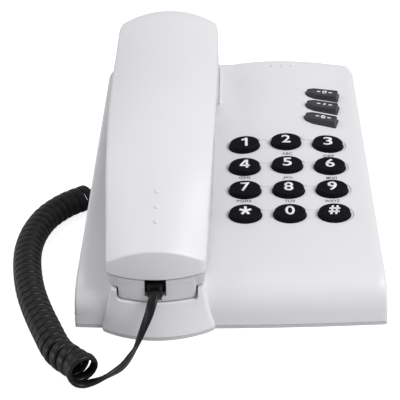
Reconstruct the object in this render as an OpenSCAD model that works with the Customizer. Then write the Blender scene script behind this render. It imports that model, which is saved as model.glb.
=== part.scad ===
// Corded desk telephone: base with keypad, cradled handset and curly cord.
// Frame: X right, Y back, Z up, millimetres. The table is Z = 0 and the origin
// is under the middle of the telephone. Modules draw in base coordinates, where
// Y = 0 is the base's front edge; in_frame() moves them into the part's frame.

/* [Base] */
// Deck to the left of the handset
left_margin = 13.7; // [12:0.1:17]
// Deck between the handset and the number keys
middle_gap = 6.35; // [5:0.05:9]
// Deck to the right of the number keys
right_margin = 15.05; // [13:0.05:18]
// Deck behind the earpiece's pocket
rear_margin = 5.2; // [4.5:0.1:8]
// How much narrower each side of the base is at the rear
base_taper = 3.9; // [2.5:0.1:5]
// Height of the deck at its reference point, above the table
deck_h = 38.7; // [38:0.1:41]
// Tilt of the deck that carries the keypad
deck_tilt = 12.4; // [12:0.1:13]
// Wall thickness of the base shells
wall = 2.4; // [2.2:0.1:2.6]
// Height of the line where the two base shells part
part_h = 2.4; // [2.2:0.1:2.8]

/* [Keypad] */
// Distance between key columns
col_pitch = 24; // [23.5:0.5:25]
// Distance between key rows
row_pitch = 19.4; // [19:0.2:20]
// Width of a number key at its foot
key_w = 17.9; // [17:0.1:18.5]
// Length of a number key at its foot
key_l = 12.9; // [12:0.1:13.5]
// Height of a key above the deck
key_rise = 2.4; // [2:0.1:3]
// Middle of the key rows, above the deck's reference line
pad_v = 2; // [1:0.1:3]
// Travel of a key
key_travel = 1.6; // [1.2:0.1:1.7]

/* [Handset] */
// Width of the handset at its earpiece
hs_wide = 59; // [57:0.1:61]
// Rise of the crowned back from its edges to its middle, at the earpiece
hs_crown = 7; // [6:0.2:8]
// Wall thickness of the handset shells
hs_wall = 2.2; // [2:0.1:2.4]

/* [Cord] */
// Outer diameter of the curly cord's coil
coil_d = 15; // [13:0.5:15]
// Width of the flat cord
cord_w = 5; // [4.4:0.1:5.2]
// Thickness of the flat cord
cord_t = 2.4; // [2:0.1:2.6]

/* [Hidden] */

slip = 0.3;                      // gap around parts that slide
skin = 0.1;                      // gap between parts that touch in use

// Base outline: as wide as the handset and the keypad need, and as deep as the cradle
deck_y = 82;                     // base Y of the deck's reference point
ear_pocket = [24, 56.3, 107.3, 7.5]; // half width, V of both ends, depth
base_w = left_margin + hs_wide + middle_gap + 2 * col_pitch + key_w + right_margin;
base_l = deck_y + ear_pocket[2] * cos(deck_tilt) + rear_margin;
hs_x = left_margin + (hs_wide - base_w) / 2;    // middle of the handset
pad_x = base_w / 2 - right_margin - key_w / 2 - col_pitch;  // middle of the key columns
front_lean = 8.5;                // lean of the front face
front_r = 10;                    // radius between front face and deck
plan_r = [1.6, 8];               // corner radii in plan, front and rear
foot_h = 1;                      // the bottom cover's height above the table
cover_t = 2.4;                   // thickness of the bottom cover

// Saddle that holds the mouthpiece end
saddle_top = deck_h - 12;
saddle_foot = [29, -1.5, 9.5];   // half width, Y of its ends, bulge
saddle_rim = [23.5, -2.2, 3.6];
saddle_back = 44;
mid_y = (base_l - saddle_reach()) / 2;
mic_pocket = [20, deck_h - 19.7, 5.5, 46.5];   // half width, floor height, floor tilt, rear wall
cheek = [31.1, 1.3, 0.9];        // rim beside the earpiece: offset, width, height

// Keypad
board_w = [-11, 1.6];            // top face below the deck, thickness
board_u = [pad_x - 42, pad_x + 42];
board_v = [-1.5 * row_pitch - 12.9, 1.5 * row_pitch + 56.9];
mat_t = 1;
well_h = 3;
stem_r = 2.5;
flange = [1.0, 1.0];             // overhang and thickness of a key's retaining flange
row_arch = [2.5, 1.4, 0, 0];     // how far each row's middle key is set back
row_turn = [12, 3, 0, 0];        // how far each row's outer keys are turned
fin_w = 19.6;
fin_l = 9;
fin_rise = 3.8;
fin_places = [for (f = [[23.4, 47.1, 11], [22.7, 35.3, 14], [21.2, 23.4, 17]])
    [pad_x + f[0], 1.5 * row_pitch + f[1], f[2]]];  // U, V, turn
boss_at = [for (v = [board_v[0] + 4, board_v[1] - 4], u = [board_u[0] + 3.5, board_u[1] - 3.5]) [u, v]];
console = [pad_x + 2, 33, 2.2, 118, base_l - 3];    // middle, half width, crown, Y of both ends
dot_x = [pad_x - 6, pad_x, pad_x + 6];

// Fasteners
post_at = [[9.7 - base_w / 2, 58], [10.4 - base_w / 2, 108],
    [base_w / 2 - 14, 24], [base_w / 2 - 13, base_l - 12]];
post_d = 7.5;
post_foot = 6.4;                 // where the posts of the two base shells meet
screw_seat = 3.2;                // height of the base screws' heads
hook_at = [hs_x + 12.8, ear_pocket[1] + 9.7];   // U and V of the plunger
hook_travel = 4;
hook_drop = 24;                  // the hook switch's top below the deck
hook_switch_h = 8;
hook_board_u = [hs_x - 13.2, hs_x + 20.8];
hook_board_v = [ear_pocket[1] + 0.7, ear_pocket[1] + 36.7];
hook_boss_at = [[hook_board_u[0] + 5, hook_board_v[0] + 5], [hook_board_u[0] + 20, hook_board_v[1] - 5]];
buzzer_at = [pad_x - 2, 104];
ballast = [52, 40, 4];
line_jack_x = 20;
cord_jack_y = 134;
cord_jack_z = 9.4;
knob_y = 118;
knob_z = 17;

// Handset: base Y, how much narrower it is, height of the crowned back's edge and
// height of the underside above the deck's reference point
stations = [
    [-9, 11, -5.8, -11.4], [0, 10.6, -0.6, -11.4], [20, 8.2, 11.3, -8.5], [38, 6, 22, -5],
    [46, 5, 26.3, -1.2], [54, 4.1, 29.9, 6.8], [62, 3.5, 33.2, 15.3], [72, 2.7, 36.6, 21.8],
    [84, 1.9, 39.9, 26.3], [98, 1.2, 42.8, 29.3], [112, 0.6, 44.9, 30.3], [124, 0.2, 46.2, 29.1],
    [133, 0, 47.2, 25.3], [140, 0, 47.9, 19.3], [146, 0, 48.5, 15.5], [170, 0, 51.1, 20.5],
    [186, 0, 52.7, 23.9], [191.5, 0, 49.3, 25.1]];
hs_front = [0, 3.8];              // Y of the mouthpiece end's corners, its bulge
hs_rear = [183, 6];              // Y of the earpiece end's corners, its bulge
hs_part = [6.6, 12];             // parting line below the back's edge, front and rear
mic_cup = [19.3, -1.8, 44.5];    // half width, Y of both ends
ear_cup = [23, 57.3, 106.2];     // half width, V of both ends
hs_jack = [hs_x - 0.8, deck_h - 13.1];  // X and Z of the handset's cord socket
plug = [7.6, 6.6, 14.5];         // width, height, length of a cord plug
hs_screw_y = [55, 132];

// Cord routes, chosen by hand. Each point of a flat stretch also has the angle
// between the cord's width and the horizontal.
lead_route = [[-37.6, -6, 25.6, 0], [-37.6, -8.6, 25.6, 0], [-38.2, -12.8, 23.6, 0],
    [-39.5, -16, 19.4, 5], [-41.6, -18.6, 14.8, 15], [-44.1, -21.6, 9.8, 35],
    [-46.6, -25.8, 5.6, 60], [-49.4, -31, 3.7, 80], [-52.8, -36.8, 2.9, 90], [-56.6, -42.4, 2.7, 90],
    [-62.4, -47, 2.7, 85], [-68, -49.6, 2.7, 75], [-73, -47.6, 4.4, 60]];
coil_route = [[-69.6, -44.4], [-72.3, -41.3], [-76.2, -38.6], [-83, -31], [-91.6, -13], [-101.2, 10], [-107, 28],
    [-111.6, 50], [-112.8, 65], [-111.6, 81], [-107, 97], [-98, 110.5], [-87.5, 119.6]];
tail_route = [[-78.6, 134, 9.4, 0], [-82, 134, 9.4, 0], [-87, 133.4, 7.6, 20], [-90.6, 130, 4.6, 45],
    [-91, 125.4, 3, 30], [-88.6, 119.4, 2.6, 0]];

function saddle_reach() = saddle_foot[2] - saddle_foot[1];
function half_w(y) = base_w / 2 - base_taper * y / base_l;
function deck_z(y) = deck_h + tan(deck_tilt) * (y - deck_y);
function arc(c, r, a0, a1, n) = [for (i = [0:n]) let (a = a0 + (a1 - a0) * i / n)
    [c.x + r * cos(a), c.y + r * sin(a)]];
function oval(w, l, n = 28) = [for (i = [0:n - 1]) let (a = 360 * i / n)
    [w / 2 * cos(a), l / 2 * sin(a)]];

// Centre of the circle that blends the front face into the deck
function front_centre() =
    let (c = cos(front_lean), s = sin(front_lean), ct = cos(deck_tilt), st = sin(deck_tilt),
        k = front_r + st * deck_y - ct * deck_h, det = s * st - c * ct)
    [(-ct * front_r + s * k) / det, (c * k - st * front_r) / det];

// Side outline of the base, a distance d inside its skin, from z0 up
function side_outline(d, z0) =
    concat([[z0 * tan(front_lean) + d / cos(front_lean), z0]],
        arc(front_centre(), front_r - d, 180 - front_lean, 90 + deck_tilt, 8),
        [[base_l - d, deck_z(base_l - d) - d / cos(deck_tilt)], [base_l - d, z0]]);

// Plan outline of the base, a distance d inside its skin
function plan_outline(d) =
    let (f = max(plan_r[0], d + 0.2), r = max(plan_r[1], d + 0.2),
        right = concat(arc([half_w(f) - f, f], f - d, -90, 0, 6),
            arc([half_w(base_l - r) - r, base_l - r], r - d, 0, 90, 6)))
    concat(right, [for (i = [len(right) - 1:-1:0]) [-right[i].x, right[i].y]]);

// Plan outline of the saddle: half width, Y of its ends, bulge; then a margin
function saddle_outline(s, d) =
    let (r = (s[0] * s[0] + s[2] * s[2]) / (2 * s[2]), a = asin(s[0] / r), c = s[1] - s[2] + r,
        b = asin((s[0] - d) / (r - d)))
    concat([for (p = arc([0, c], r - d, -90 - b, -90 + b, 10)) [hs_x + p.x, p.y]],
        [[hs_x + s[0] - d, saddle_back - d], [hs_x - s[0] + d, saddle_back - d]]);

// The handset's stations, read at any Y
function at_y(y, col, i = 1) = i == len(stations) - 1 || y <= stations[i][0]
    ? let (a = stations[i - 1], b = stations[i])
        a[col] + (b[col] - a[col]) * (y - a[0]) / (b[0] - a[0])
    : at_y(y, col, i + 1);
function hs_w(y) = hs_wide - at_y(y, 1);
function hs_edge(y) = deck_h + at_y(y, 2);
function hs_under(y) = deck_h + at_y(y, 3);
function hs_rise(y) = hs_crown * (1 + max(0, 60 - y) / 180);
function part_z(y) = hs_edge(y) - hs_part[0] - (hs_part[1] - hs_part[0]) * y / base_l;

module in_frame() translate([0, -mid_y, 0]) children();

// Deck coordinates: U right, V up the slope, W out of the deck
module from_deck() translate([0, deck_y, deck_h]) rotate([deck_tilt, 0, 0]) children();

module on_deck(u = 0, v = 0, w = 0) in_frame() from_deck() translate([u, v, w]) children();

// Slab of a side outline (Y, Z), w wide about the plane X = x
module side_slab(outline, x, w)
    translate([x, 0, 0]) rotate([90, 0, 90]) translate([0, 0, -w / 2]) linear_extrude(w) polygon(outline);

// Solid through rings of points, all with the same count and counter-clockwise
// about the way from the first ring to the last
module loft(rings) {
    n = len(rings[0]);
    m = len(rings);
    polyhedron(points = [for (r = rings) for (p = r) p], faces = concat(
        [[for (i = [0:n - 1]) i]],
        [for (j = [0:m - 2]) for (i = [0:n - 1]) let (a = j * n + i, b = j * n + (i + 1) % n)
            each [[a, a + n, b + n], [a, b + n, b]]],
        [[for (i = [n - 1:-1:0]) (m - 1) * n + i]]));
}

// ---------------------------------------------------------------- base shells

module base_block(d, z0) intersection() {
    side_slab(side_outline(d, z0), 0, base_w + 20);
    translate([0, 0, z0]) linear_extrude(deck_z(base_l) + 9) polygon(plan_outline(d));
}

module saddle_block(d, z0) loft([
    [for (p = saddle_outline(saddle_foot, d)) [p.x, p.y, z0]],
    [for (p = saddle_outline(saddle_rim, d)) [p.x, p.y, saddle_top - d]]]);

module mic_hollow(d) {
    floor_at = function (y) mic_pocket[1] + tan(mic_pocket[2]) * (y + 6) - d / cos(mic_pocket[2]);
    side_slab([[-20, floor_at(-20)], [mic_pocket[3] + d, floor_at(mic_pocket[3] + d)],
        [mic_pocket[3] + d + 3, deck_h + 22], [-20, deck_h + 22]], hs_x, 2 * (mic_pocket[0] + d));
}

module ear_hollow(d) from_deck() translate([hs_x - ear_pocket[0] - d, ear_pocket[1] - d, -ear_pocket[3] - d])
    cube([2 * (ear_pocket[0] + d), ear_pocket[2] - ear_pocket[1] + 2 * d, 30]);

// Convex swelling of the deck behind the keypad
module console_swell() {
    ring = function (y, crown) let (a = arc([0, 0], 1, 180, 0, 12))
        concat([for (p = a) [console[0] + console[1] * p.x, y, deck_z(y) + crown * p.y - 0.02]],
            [[console[0] + console[1], y, deck_z(y) - 1.2], [console[0] - console[1], y, deck_z(y) - 1.2]]);
    loft([ring(console[3], 0.1), ring((console[3] + console[4]) / 2, console[2] * 0.8),
        ring(console[4], console[2])]);
}

module shoulder_cut() for (s = [-1, 1])
    translate([s * half_w(deck_y), deck_y, deck_h]) rotate([deck_tilt, 0, s * atan(base_taper / base_l)])
        rotate([0, 45, 0]) cube([4.6, 400, 4.6], center = true);

module key_place(col, row) {
    turn = -col * row_turn[row];
    v = pad_v + (1.5 - row) * row_pitch + (col == 0 ? row_arch[row] : 0);
    translate([pad_x + col * col_pitch, v, 0]) rotate(turn) children();
}

module fin_place(i) translate([fin_places[i][0], fin_places[i][1], 0]) rotate(-fin_places[i][2]) children();

fin_outline = concat([[-fin_w / 2, -fin_l * 0.1]], arc([-fin_w * 0.25, -fin_l * 0.5], fin_l, 135, 90, 4),
    [[fin_w / 2, fin_l * 0.5], [fin_w / 2, -fin_l * 0.5], [-fin_w * 0.2, -fin_l * 0.5],
    [-fin_w * 0.42, -fin_l * 0.32]]);

module deck_holes() {
    for (row = [0:3], col = [-1:1]) key_place(col, row) {
        translate([0, 0, -wall - 2]) linear_extrude(wall + 8) polygon(oval(key_w + 2 * slip, key_l + 2 * slip));
        translate([0, -0.6, -0.6]) linear_extrude(8) polygon(oval(key_w + 5.2, key_l + 4.6));
    }
    for (row = [0:3]) translate([pad_x - col_pitch, pad_v + (1.5 - row) * row_pitch - 3.5, -0.6])
        cube([2 * col_pitch, 7 + row_arch[row] / 2, 8]);
    for (i = [0:2]) fin_place(i)
        translate([0, 0, -wall - 2]) linear_extrude(wall + 10) scaled_fin(slip);
}

module scaled_fin(d) polygon([for (p = fin_outline)
    [p.x * (1 + 2 * d / fin_w), p.y * (1 + 2 * d / fin_l)]]);

module top_cover() color([0.86, 0.86, 0.87]) in_frame() difference() {
    union() {
        difference() {
            union() {
                difference() {
                    base_block(0, part_h);
                    shoulder_cut();
                }
                console_swell();
                saddle_block(0, part_h);
            }
            difference() {
                union() {
                    base_block(wall, part_h - 1);
                    saddle_block(wall, part_h - 1);
                }
                mic_hollow(wall);
                ear_hollow(wall);
                cover_posts();
            }
        }
        from_deck() {
            bosses(boss_at, board_w[0], -1);
            bosses(hook_boss_at, hook_board_w(), -ear_pocket[3] - 1);
            cheek_rim();
        }
        dots_on_base();
    }
    mic_hollow(0);
    ear_hollow(0);
    cover_post_bores();
    from_deck() {
        deck_holes();
        translate([hook_at[0] - 4 - slip, hook_at[1] - 2.5 - slip, -20])
            cube([8 + 2 * slip, 5 + 2 * slip, 30]);
        translate([hs_x - 5 - skin, ear_pocket[1] - 5, -7.1]) cube([10 + 2 * skin, 2.2 + 2 * skin, 12]);
    }
    jack_windows();
}

module cover_posts() intersection() {
    for (p = post_at) translate([p.x, p.y, post_foot]) cylinder(d = post_d, h = 70, $fn = 48);
    base_block(0.8, post_foot);
}

module cover_post_bores()
    for (p = post_at) translate([p.x, p.y, 0]) cylinder(d = 2.7, h = 16, $fn = 32);

// Screw bosses that hang from the deck between two heights
module bosses(at, w0, w1) for (p = at) translate([p.x, p.y, w0]) difference() {
    cylinder(d = 6, h = w1 - w0, $fn = 40);
    translate([0, 0, -1]) cylinder(d = 2.2, h = 8, $fn = 24);
}

module cheek_rim() translate([hs_x + cheek[0] - cheek[1], ear_pocket[1] + 14, -1])
    cube([cheek[1], 36, 1 + cheek[2]]);

// Three raised dots near the rear edge
module dots_on_base() for (x = dot_x)
    translate([x, base_l - 6.7, deck_z(base_l - 6.7) + console[2] - 1]) cylinder(d = 2.5, h = 1.3, $fn = 20);

module jack_windows() {
    translate([line_jack_x - 6, base_l - 6, 7.5]) cube([12, 12, 9.5]);
    translate([-base_w / 2 - 5, cord_jack_y - 5, cord_jack_z - 4.5]) cube([12, 10, 9]);
    translate([half_w(knob_y) - 6, knob_y - 6, knob_z - 2.3]) cube([12, 12, 4.6]);
}

module bottom_cover() color([0.8, 0.8, 0.81]) in_frame() difference() {
    union() {
        translate([0, 0, foot_h]) linear_extrude(part_h - foot_h) {
            polygon(plan_outline(0.3));
            polygon(saddle_outline(saddle_foot, 0.3));
        }
        translate([0, 0, foot_h]) linear_extrude(cover_t) polygon(plan_outline(wall + 3 * slip));
        cover_ribs();
    }
    for (p = post_at) translate([p.x, p.y, 0]) {
        cylinder(d = 3.2, h = 20, $fn = 32);
        cylinder(d = 6.4, h = screw_seat, $fn = 40);
    }
    for (p = foot_at()) translate([p.x, p.y, 0]) cylinder(d = 13.4, h = foot_h + 0.8, $fn = 48);
    for (y = keyhole_y()) keyhole(y);
    for (i = [-3:3]) translate([buzzer_at.x + 4 * i - 0.8, buzzer_at.y - 7, 0]) cube([1.6, 14, 9]);
}

module cover_ribs() {
    for (p = post_at) translate([p.x, p.y, foot_h]) cylinder(d = post_d, h = post_foot - foot_h, $fn = 48);
    for (s = [-1, 1], y = [12, 150]) translate([s * 30 - 10, y, foot_h]) cube([20, 1.6, 7]);
    translate([buzzer_at.x, buzzer_at.y, foot_h]) difference() {
        cylinder(d = 34, h = 6, $fn = 64);
        translate([0, 0, -1]) cylinder(d = 30.4, h = 9, $fn = 64);
    }
}

module keyhole(y) {
    translate([0, y, -1]) cylinder(d = 9, h = 12, $fn = 40);
    translate([-2.25, y, -1]) cube([4.5, 11, 12]);
}

function foot_at() = [for (s = [-1, 1], y = [16, base_l - 18]) [s * (base_w / 2 - 22), y]];
function keyhole_y() = [44, 127];
function hook_board_w() = -hook_drop - hook_switch_h;

module rubber_feet() color([0.12, 0.12, 0.12]) in_frame()
    for (p = foot_at()) translate([p.x, p.y, 0]) cylinder(d = 13, h = foot_h + 0.8, $fn = 48);

module screw(head_d, head_h, shank_d, length) {
    difference() {
        cylinder(d = head_d, h = head_h, $fn = 40);
        for (a = [0, 90]) rotate(a) translate([-head_d * 0.3, -0.4, -1]) cube([head_d * 0.6, 0.8, 1.9]);
    }
    cylinder(d = shank_d, h = length, $fn = 32);
}

module base_screws() color([0.6, 0.6, 0.62]) in_frame()
    for (p = post_at) translate([p.x, p.y, screw_seat - 1.7]) screw(5.8, 1.7, 2.6, 12);

module ballast_plate() color([0.45, 0.46, 0.48]) in_frame()
    translate([pad_x - 20, 30, foot_h + cover_t]) cube(ballast);

// ------------------------------------------------------- board, mat and keys

module main_board() color([0.1, 0.35, 0.2]) on_deck() difference() {
    translate([board_u[0], board_v[0], board_w[0] - board_w[1]])
        cube([board_u[1] - board_u[0], board_v[1] - board_v[0], board_w[1]]);
    for (p = boss_at) translate([p.x, p.y, board_w[0] - 5]) cylinder(d = 2.8, h = 9, $fn = 24);
}

module board_screws() color([0.7, 0.7, 0.72]) on_deck()
    for (p = boss_at) translate([p.x, p.y, board_w[0] - board_w[1] - 1.4]) screw(4.4, 1.4, 2.1, 7);

module board_parts() color([0.15, 0.15, 0.16]) on_deck(w = board_w[0] - board_w[1]) {
    translate([pad_x - 10, 0, -2.4]) cube([18, 8, 2.4]);
    translate([pad_x - 6, 28, -3.2]) cube([9, 6.5, 3.2]);
    for (p = [[-24, -18], [-24, -6], [20, 22]]) translate([pad_x + p.x, p.y, -9])
        cylinder(d = 6.3, h = 9, $fn = 40);
    for (i = [0:4]) translate([pad_x + 14 + 4 * i, -14, -2]) cube([2, 6, 2]);
    translate([pad_x - 38, 40, -6]) cube([6, 12, 6]);
}

module well(x, y) translate([x, y, board_w[0] + mat_t - 0.01]) difference() {
    cylinder(d = 2 * stem_r + 3.6, h = well_h, $fn = 40);
    translate([0, 0, -0.5]) cylinder(d = 2 * stem_r + 0.9, h = well_h + 1, $fn = 40);
}

module keypad_mat() color([0.75, 0.75, 0.72]) on_deck() {
    translate([board_u[0] + 7.5, board_v[0] + 3, board_w[0]])
        cube([board_u[1] - board_u[0] - 14, board_v[1] - board_v[0] - 6, mat_t]);
    for (row = [0:3], col = [-1:1])
        well(pad_x + col * col_pitch, pad_v + (1.5 - row) * row_pitch + (col == 0 ? row_arch[row] : 0));
    for (f = fin_places) well(f[0], f[1]);
}

// Stem that a key pushes down into its well, with the flange that keeps the key in
module key_stem(foot) {
    rest = board_w[0] + mat_t + key_travel + 0.2;
    translate([0, 0, rest]) cylinder(r = stem_r, h = -wall - rest, $fn = 32);
    translate([0, 0, -wall - skin - flange[1]]) linear_extrude(flange[1]) polygon(foot);
}

module number_key(col, row) color([0.04, 0.04, 0.045]) on_deck() key_place(col, row) {
    foot = oval(key_w, key_l);
    top = oval(key_w - 2, key_l - 2);
    loft([[for (p = foot) [p.x, p.y, -wall - skin - 0.2]], [for (p = foot) [p.x, p.y, 0]],
        [for (p = top) [p.x, p.y, key_rise]]]);
    key_stem(oval(key_w + 2 * flange[0], key_l + 2 * flange[0]));
}

module fin_key(i) color([0.2, 0.2, 0.21]) on_deck() fin_place(i) {
    translate([0, 0, -wall - skin - 0.2]) linear_extrude(wall + skin + 0.2 + fin_rise) polygon(fin_outline);
    key_stem([for (p = fin_outline) [p.x * (1 + 2 * flange[0] / fin_w), p.y * (1 + 2 * flange[0] / fin_l)]]);
}

module key_1() number_key(-1, 0);
module key_2() number_key(0, 0);
module key_3() number_key(1, 0);
module key_4() number_key(-1, 1);
module key_5() number_key(0, 1);
module key_6() number_key(1, 1);
module key_7() number_key(-1, 2);
module key_8() number_key(0, 2);
module key_9() number_key(1, 2);
module key_star() number_key(-1, 3);
module key_0() number_key(0, 3);
module key_hash() number_key(1, 3);
module key_redial() fin_key(0);
module key_flash() fin_key(1);
module key_mute() fin_key(2);

// ------------------------------------------------------------- hook and jacks

module hook_plunger() color([0.2, 0.2, 0.21]) on_deck(hook_at[0], hook_at[1]) {
    translate([-4, -2.5, -ear_pocket[3] - 12]) cube([8, 5, 12.4]);
    translate([-5.5, -4, -ear_pocket[3] - wall - hook_travel - 1.6]) cube([11, 8, 1.4]);
    translate([0, 0, -hook_drop - 1.5]) cylinder(d = 3, h = 10, $fn = 32);
}

// Coil spring round the plunger's pin
module hook_spring() color([0.75, 0.76, 0.78]) on_deck(hook_at[0], hook_at[1], -hook_drop) {
    turns = 4;
    steps = 14;
    height = hook_drop - ear_pocket[3] - 12.1;
    ring = function (k) let (a = 360 * k / steps, c = cos(a), s = sin(a))
        [for (j = [0:5]) let (b = -60 * j, r = 2.6 + 0.35 * cos(b))
            [r * c, r * s, 0.4 + (height - 0.8) * k / (turns * steps) + 0.35 * sin(b)]];
    loft([for (k = [0:turns * steps]) ring(k)]);
}

module hook_switch() color([0.1, 0.1, 0.1]) on_deck(hook_at[0], hook_at[1], hook_board_w())
    difference() {
        translate([-6, -5, 0]) cube([12, 10, hook_switch_h]);
        translate([0, 0, 2]) cylinder(d = 3.6, h = 9, $fn = 32);
    }

module hook_board() color([0.1, 0.35, 0.2]) on_deck() difference() {
    translate([hook_board_u[0], hook_board_v[0], hook_board_w() - board_w[1]])
        cube([hook_board_u[1] - hook_board_u[0], hook_board_v[1] - hook_board_v[0], board_w[1]]);
    for (p = hook_boss_at) translate([p.x, p.y, hook_board_w() - 5]) cylinder(d = 2.8, h = 9, $fn = 24);
}

module hook_board_screws() color([0.7, 0.7, 0.72]) on_deck()
    for (p = hook_boss_at) translate([p.x, p.y, hook_board_w() - board_w[1] - 1.4]) screw(4.4, 1.4, 2.1, 7);

module buzzer() color([0.75, 0.6, 0.3]) in_frame() translate([buzzer_at.x, buzzer_at.y, foot_h + cover_t + 0.4]) {
    cylinder(d = 27, h = 0.6, $fn = 64);
    translate([0, 0, 0.6]) cylinder(d = 20, h = 0.5, $fn = 64);
}

// Socket body with a square mouth that faces along +Y
module socket(w, h, depth, mouth_w, mouth_h, mouth_depth) difference() {
    translate([-w / 2, -depth, -h / 2]) cube([w, depth, h]);
    translate([-mouth_w / 2, -mouth_depth, -mouth_h / 2]) cube([mouth_w, mouth_depth + 1, mouth_h]);
}

module line_jack() color([0.12, 0.12, 0.13]) in_frame()
    translate([line_jack_x, base_l - wall - skin, 12.2]) socket(15, 12, 16, 9.8, 6.9, 12.5);

module base_cord_jack() color([0.12, 0.12, 0.13]) in_frame()
    translate([-half_w(cord_jack_y) + wall + 0.5, cord_jack_y, cord_jack_z]) rotate(90)
        socket(12, 11, 13, plug[0] + 0.3, plug[1] + 0.3, 9);

module hanger_tab() color([0.8, 0.8, 0.81]) on_deck(hs_x - 5, ear_pocket[1] - 5 + skin, -7) cube([10, 2.2, 7]);

module ringer_knob() color([0.15, 0.15, 0.16]) in_frame() translate([half_w(knob_y), knob_y, knob_z]) {
    translate([-3.6, -2, -2]) cube([4.8, 4, 4]);
    translate([-7, -1.2, -1.2]) cube([3.5, 2.4, 2.4]);
}

module ringer_switch() color([0.5, 0.5, 0.52]) in_frame() translate([half_w(knob_y) - 8.9, knob_y, knob_z])
    difference() {
        translate([-3, -8, -4]) cube([6.5, 16, 8]);
        translate([1.2, -4.5, -1.6]) cube([4, 9, 3.2]);
    }

// -------------------------------------------------------------------- handset

// Body rings: crowned back, upright sides and arched underside, d inside the skin
function hs_ring(y, d) =
    let (half = hs_w(y) / 2 + 4, edge = hs_edge(y), n = 12)
    concat([for (i = [0:n]) let (x = -half + 2 * half * i / n, t = 2 * x / hs_w(y))
        [hs_x + x, y, edge + hs_rise(y) * (1 - t * t) - d]],
        [[hs_x + half, y, hs_under(y) + d], [hs_x - half, y, hs_under(y) + d]]);

module hs_body(d) loft([for (s = stations) hs_ring(s[0], d)]);

// Plan outline of the handset, d inside its skin
function hs_plan(d) =
    let (hf = hs_w(0) / 2, bf = hs_front[1], rf = (hf * hf + bf * bf) / (2 * bf),
        hr = hs_w(180) / 2 - 3, br = hs_rear[1], rr = (hr * hr + br * br) / (2 * br),
        af = asin((hf - d) / (rf - d)), ar = asin((hr - d) / (rr - d)),
        side = [for (y = [20, 46, 72, 98, 124, 176]) [hs_w(y) / 2 - d, y]])
    concat(arc([0, hs_front[0] - bf + rf], rf - d, -90 - af, -90 + af, 8), side,
        arc([0, hs_rear[0] + br - rr], rr - d, 90 - ar, 90 + ar, 8),
        [for (i = [len(side) - 1:-1:0]) [-side[i].x, side[i].y]]);

module hs_trim(d) translate([hs_x, 0, deck_h - 30]) linear_extrude(100) polygon(hs_plan(d));

module hs_above(gap) side_slab(concat([for (y = [-20, 0, 38, 62, 98, 133, 186, 210]) [y, part_z(y) + gap]],
    [[210, deck_h + 90], [-20, deck_h + 90]]), hs_x, 90);

module hs_mic_cup(d) {
    floor_at = function (y) mic_pocket[1] + 0.5 + tan(mic_pocket[2]) * (y + 6) + d / cos(mic_pocket[2]);
    side_slab([[mic_cup[1] + d, floor_at(mic_cup[1] + d)], [mic_cup[2] - d, floor_at(mic_cup[2] - d)],
        [mic_cup[2] - d, deck_h + 5.3 + d], [mic_cup[1] + d, deck_h - 8.6 + d]], hs_x, 2 * (mic_cup[0] - d));
}

module hs_ear_cup(d) from_deck()
    translate([hs_x - ear_cup[0] + d, ear_cup[1] + d, 0.5 - ear_pocket[3] + d])
        cube([2 * (ear_cup[0] - d), ear_cup[2] - ear_cup[1] - 2 * d, 16]);

module handset_back() color([0.88, 0.88, 0.89]) in_frame() {
    difference() {
        intersection() {
            hs_body(0);
            hs_trim(0);
            hs_above(0);
        }
        intersection() {
            hs_body(hs_wall);
            hs_trim(hs_wall);
        }
    }
    for (y = hs_screw_y) difference() {
        translate([hs_x, y, part_z(y) + 1]) cylinder(d = 6, h = hs_edge(y) + hs_crown - part_z(y) - 2, $fn = 40);
        translate([hs_x, y, part_z(y)]) cylinder(d = 2.3, h = 9, $fn = 24);
    }
    hs_dots();
}

// Three raised dots in a line on the back, above the mouthpiece
module hs_dots() for (y = [12, 20, 28])
    translate([hs_x, y, hs_edge(y) + hs_rise(y) - 1]) rotate([30, 0, 0]) cylinder(d = 2.6, h = 1.6, $fn = 20);

module handset_front() color([0.78, 0.78, 0.8]) in_frame() difference() {
    union() {
        difference() {
            intersection() {
                hs_body(0);
                hs_trim(0);
            }
            intersection() {
                hs_body(hs_wall);
                hs_trim(hs_wall);
            }
            hs_above(0);
        }
        hs_mic_cup(0);
        intersection() {
            hs_ear_cup(0);
            hs_trim(3);
        }
        for (y = hs_screw_y) translate([hs_x, y, hs_under(y) + 1])
            cylinder(d = 7, h = part_z(y) - hs_under(y) - 1, $fn = 40);
    }
    hs_mic_cup(hs_wall);
    hs_ear_cup(hs_wall);
    for (y = hs_screw_y) translate([hs_x, y, 0]) {
        cylinder(d = 2.9, h = 100, $fn = 24);
        cylinder(d = 5.4, h = hs_under(y) + 3, $fn = 40);
    }
    translate([hs_jack[0] - plug[0] / 2 - 1.2, -8, hs_jack[1] - plug[1] / 2 - 0.8])
        cube([plug[0] + 2.4, 21, plug[1] + 1.6]);
    mic_frame() for (x = [-4, 0, 4]) translate([x, 0, -5]) cylinder(d = 1.6, h = 10, $fn = 20);
    ear_frame() for (r = [0, 6], a = [0:60:300]) rotate(a) translate([r, 0, -5]) cylinder(d = 2.2, h = 10, $fn = 20);
}

module mic_frame() translate([hs_x, 22, mic_pocket[1] + 0.5 + tan(mic_pocket[2]) * 28])
    rotate([mic_pocket[2], 0, 0]) children();

module ear_frame() from_deck()
    translate([hs_x, (ear_cup[1] + ear_cup[2]) / 2, 0.5 - ear_pocket[3]]) children();

module handset_screws() color([0.6, 0.6, 0.62]) in_frame()
    for (y = hs_screw_y) translate([hs_x, y, hs_under(y) + 1.3]) screw(5, 1.7, 2.2, part_z(y) - hs_under(y) + 5);

module earpiece_speaker() color([0.25, 0.25, 0.26]) in_frame() ear_frame() {
    translate([0, 0, hs_wall + 0.8]) cylinder(d = 36, h = 4, $fn = 64);
    translate([0, 0, hs_wall + 4.7]) cylinder(d = 20, h = 5, $fn = 48);
}

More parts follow.
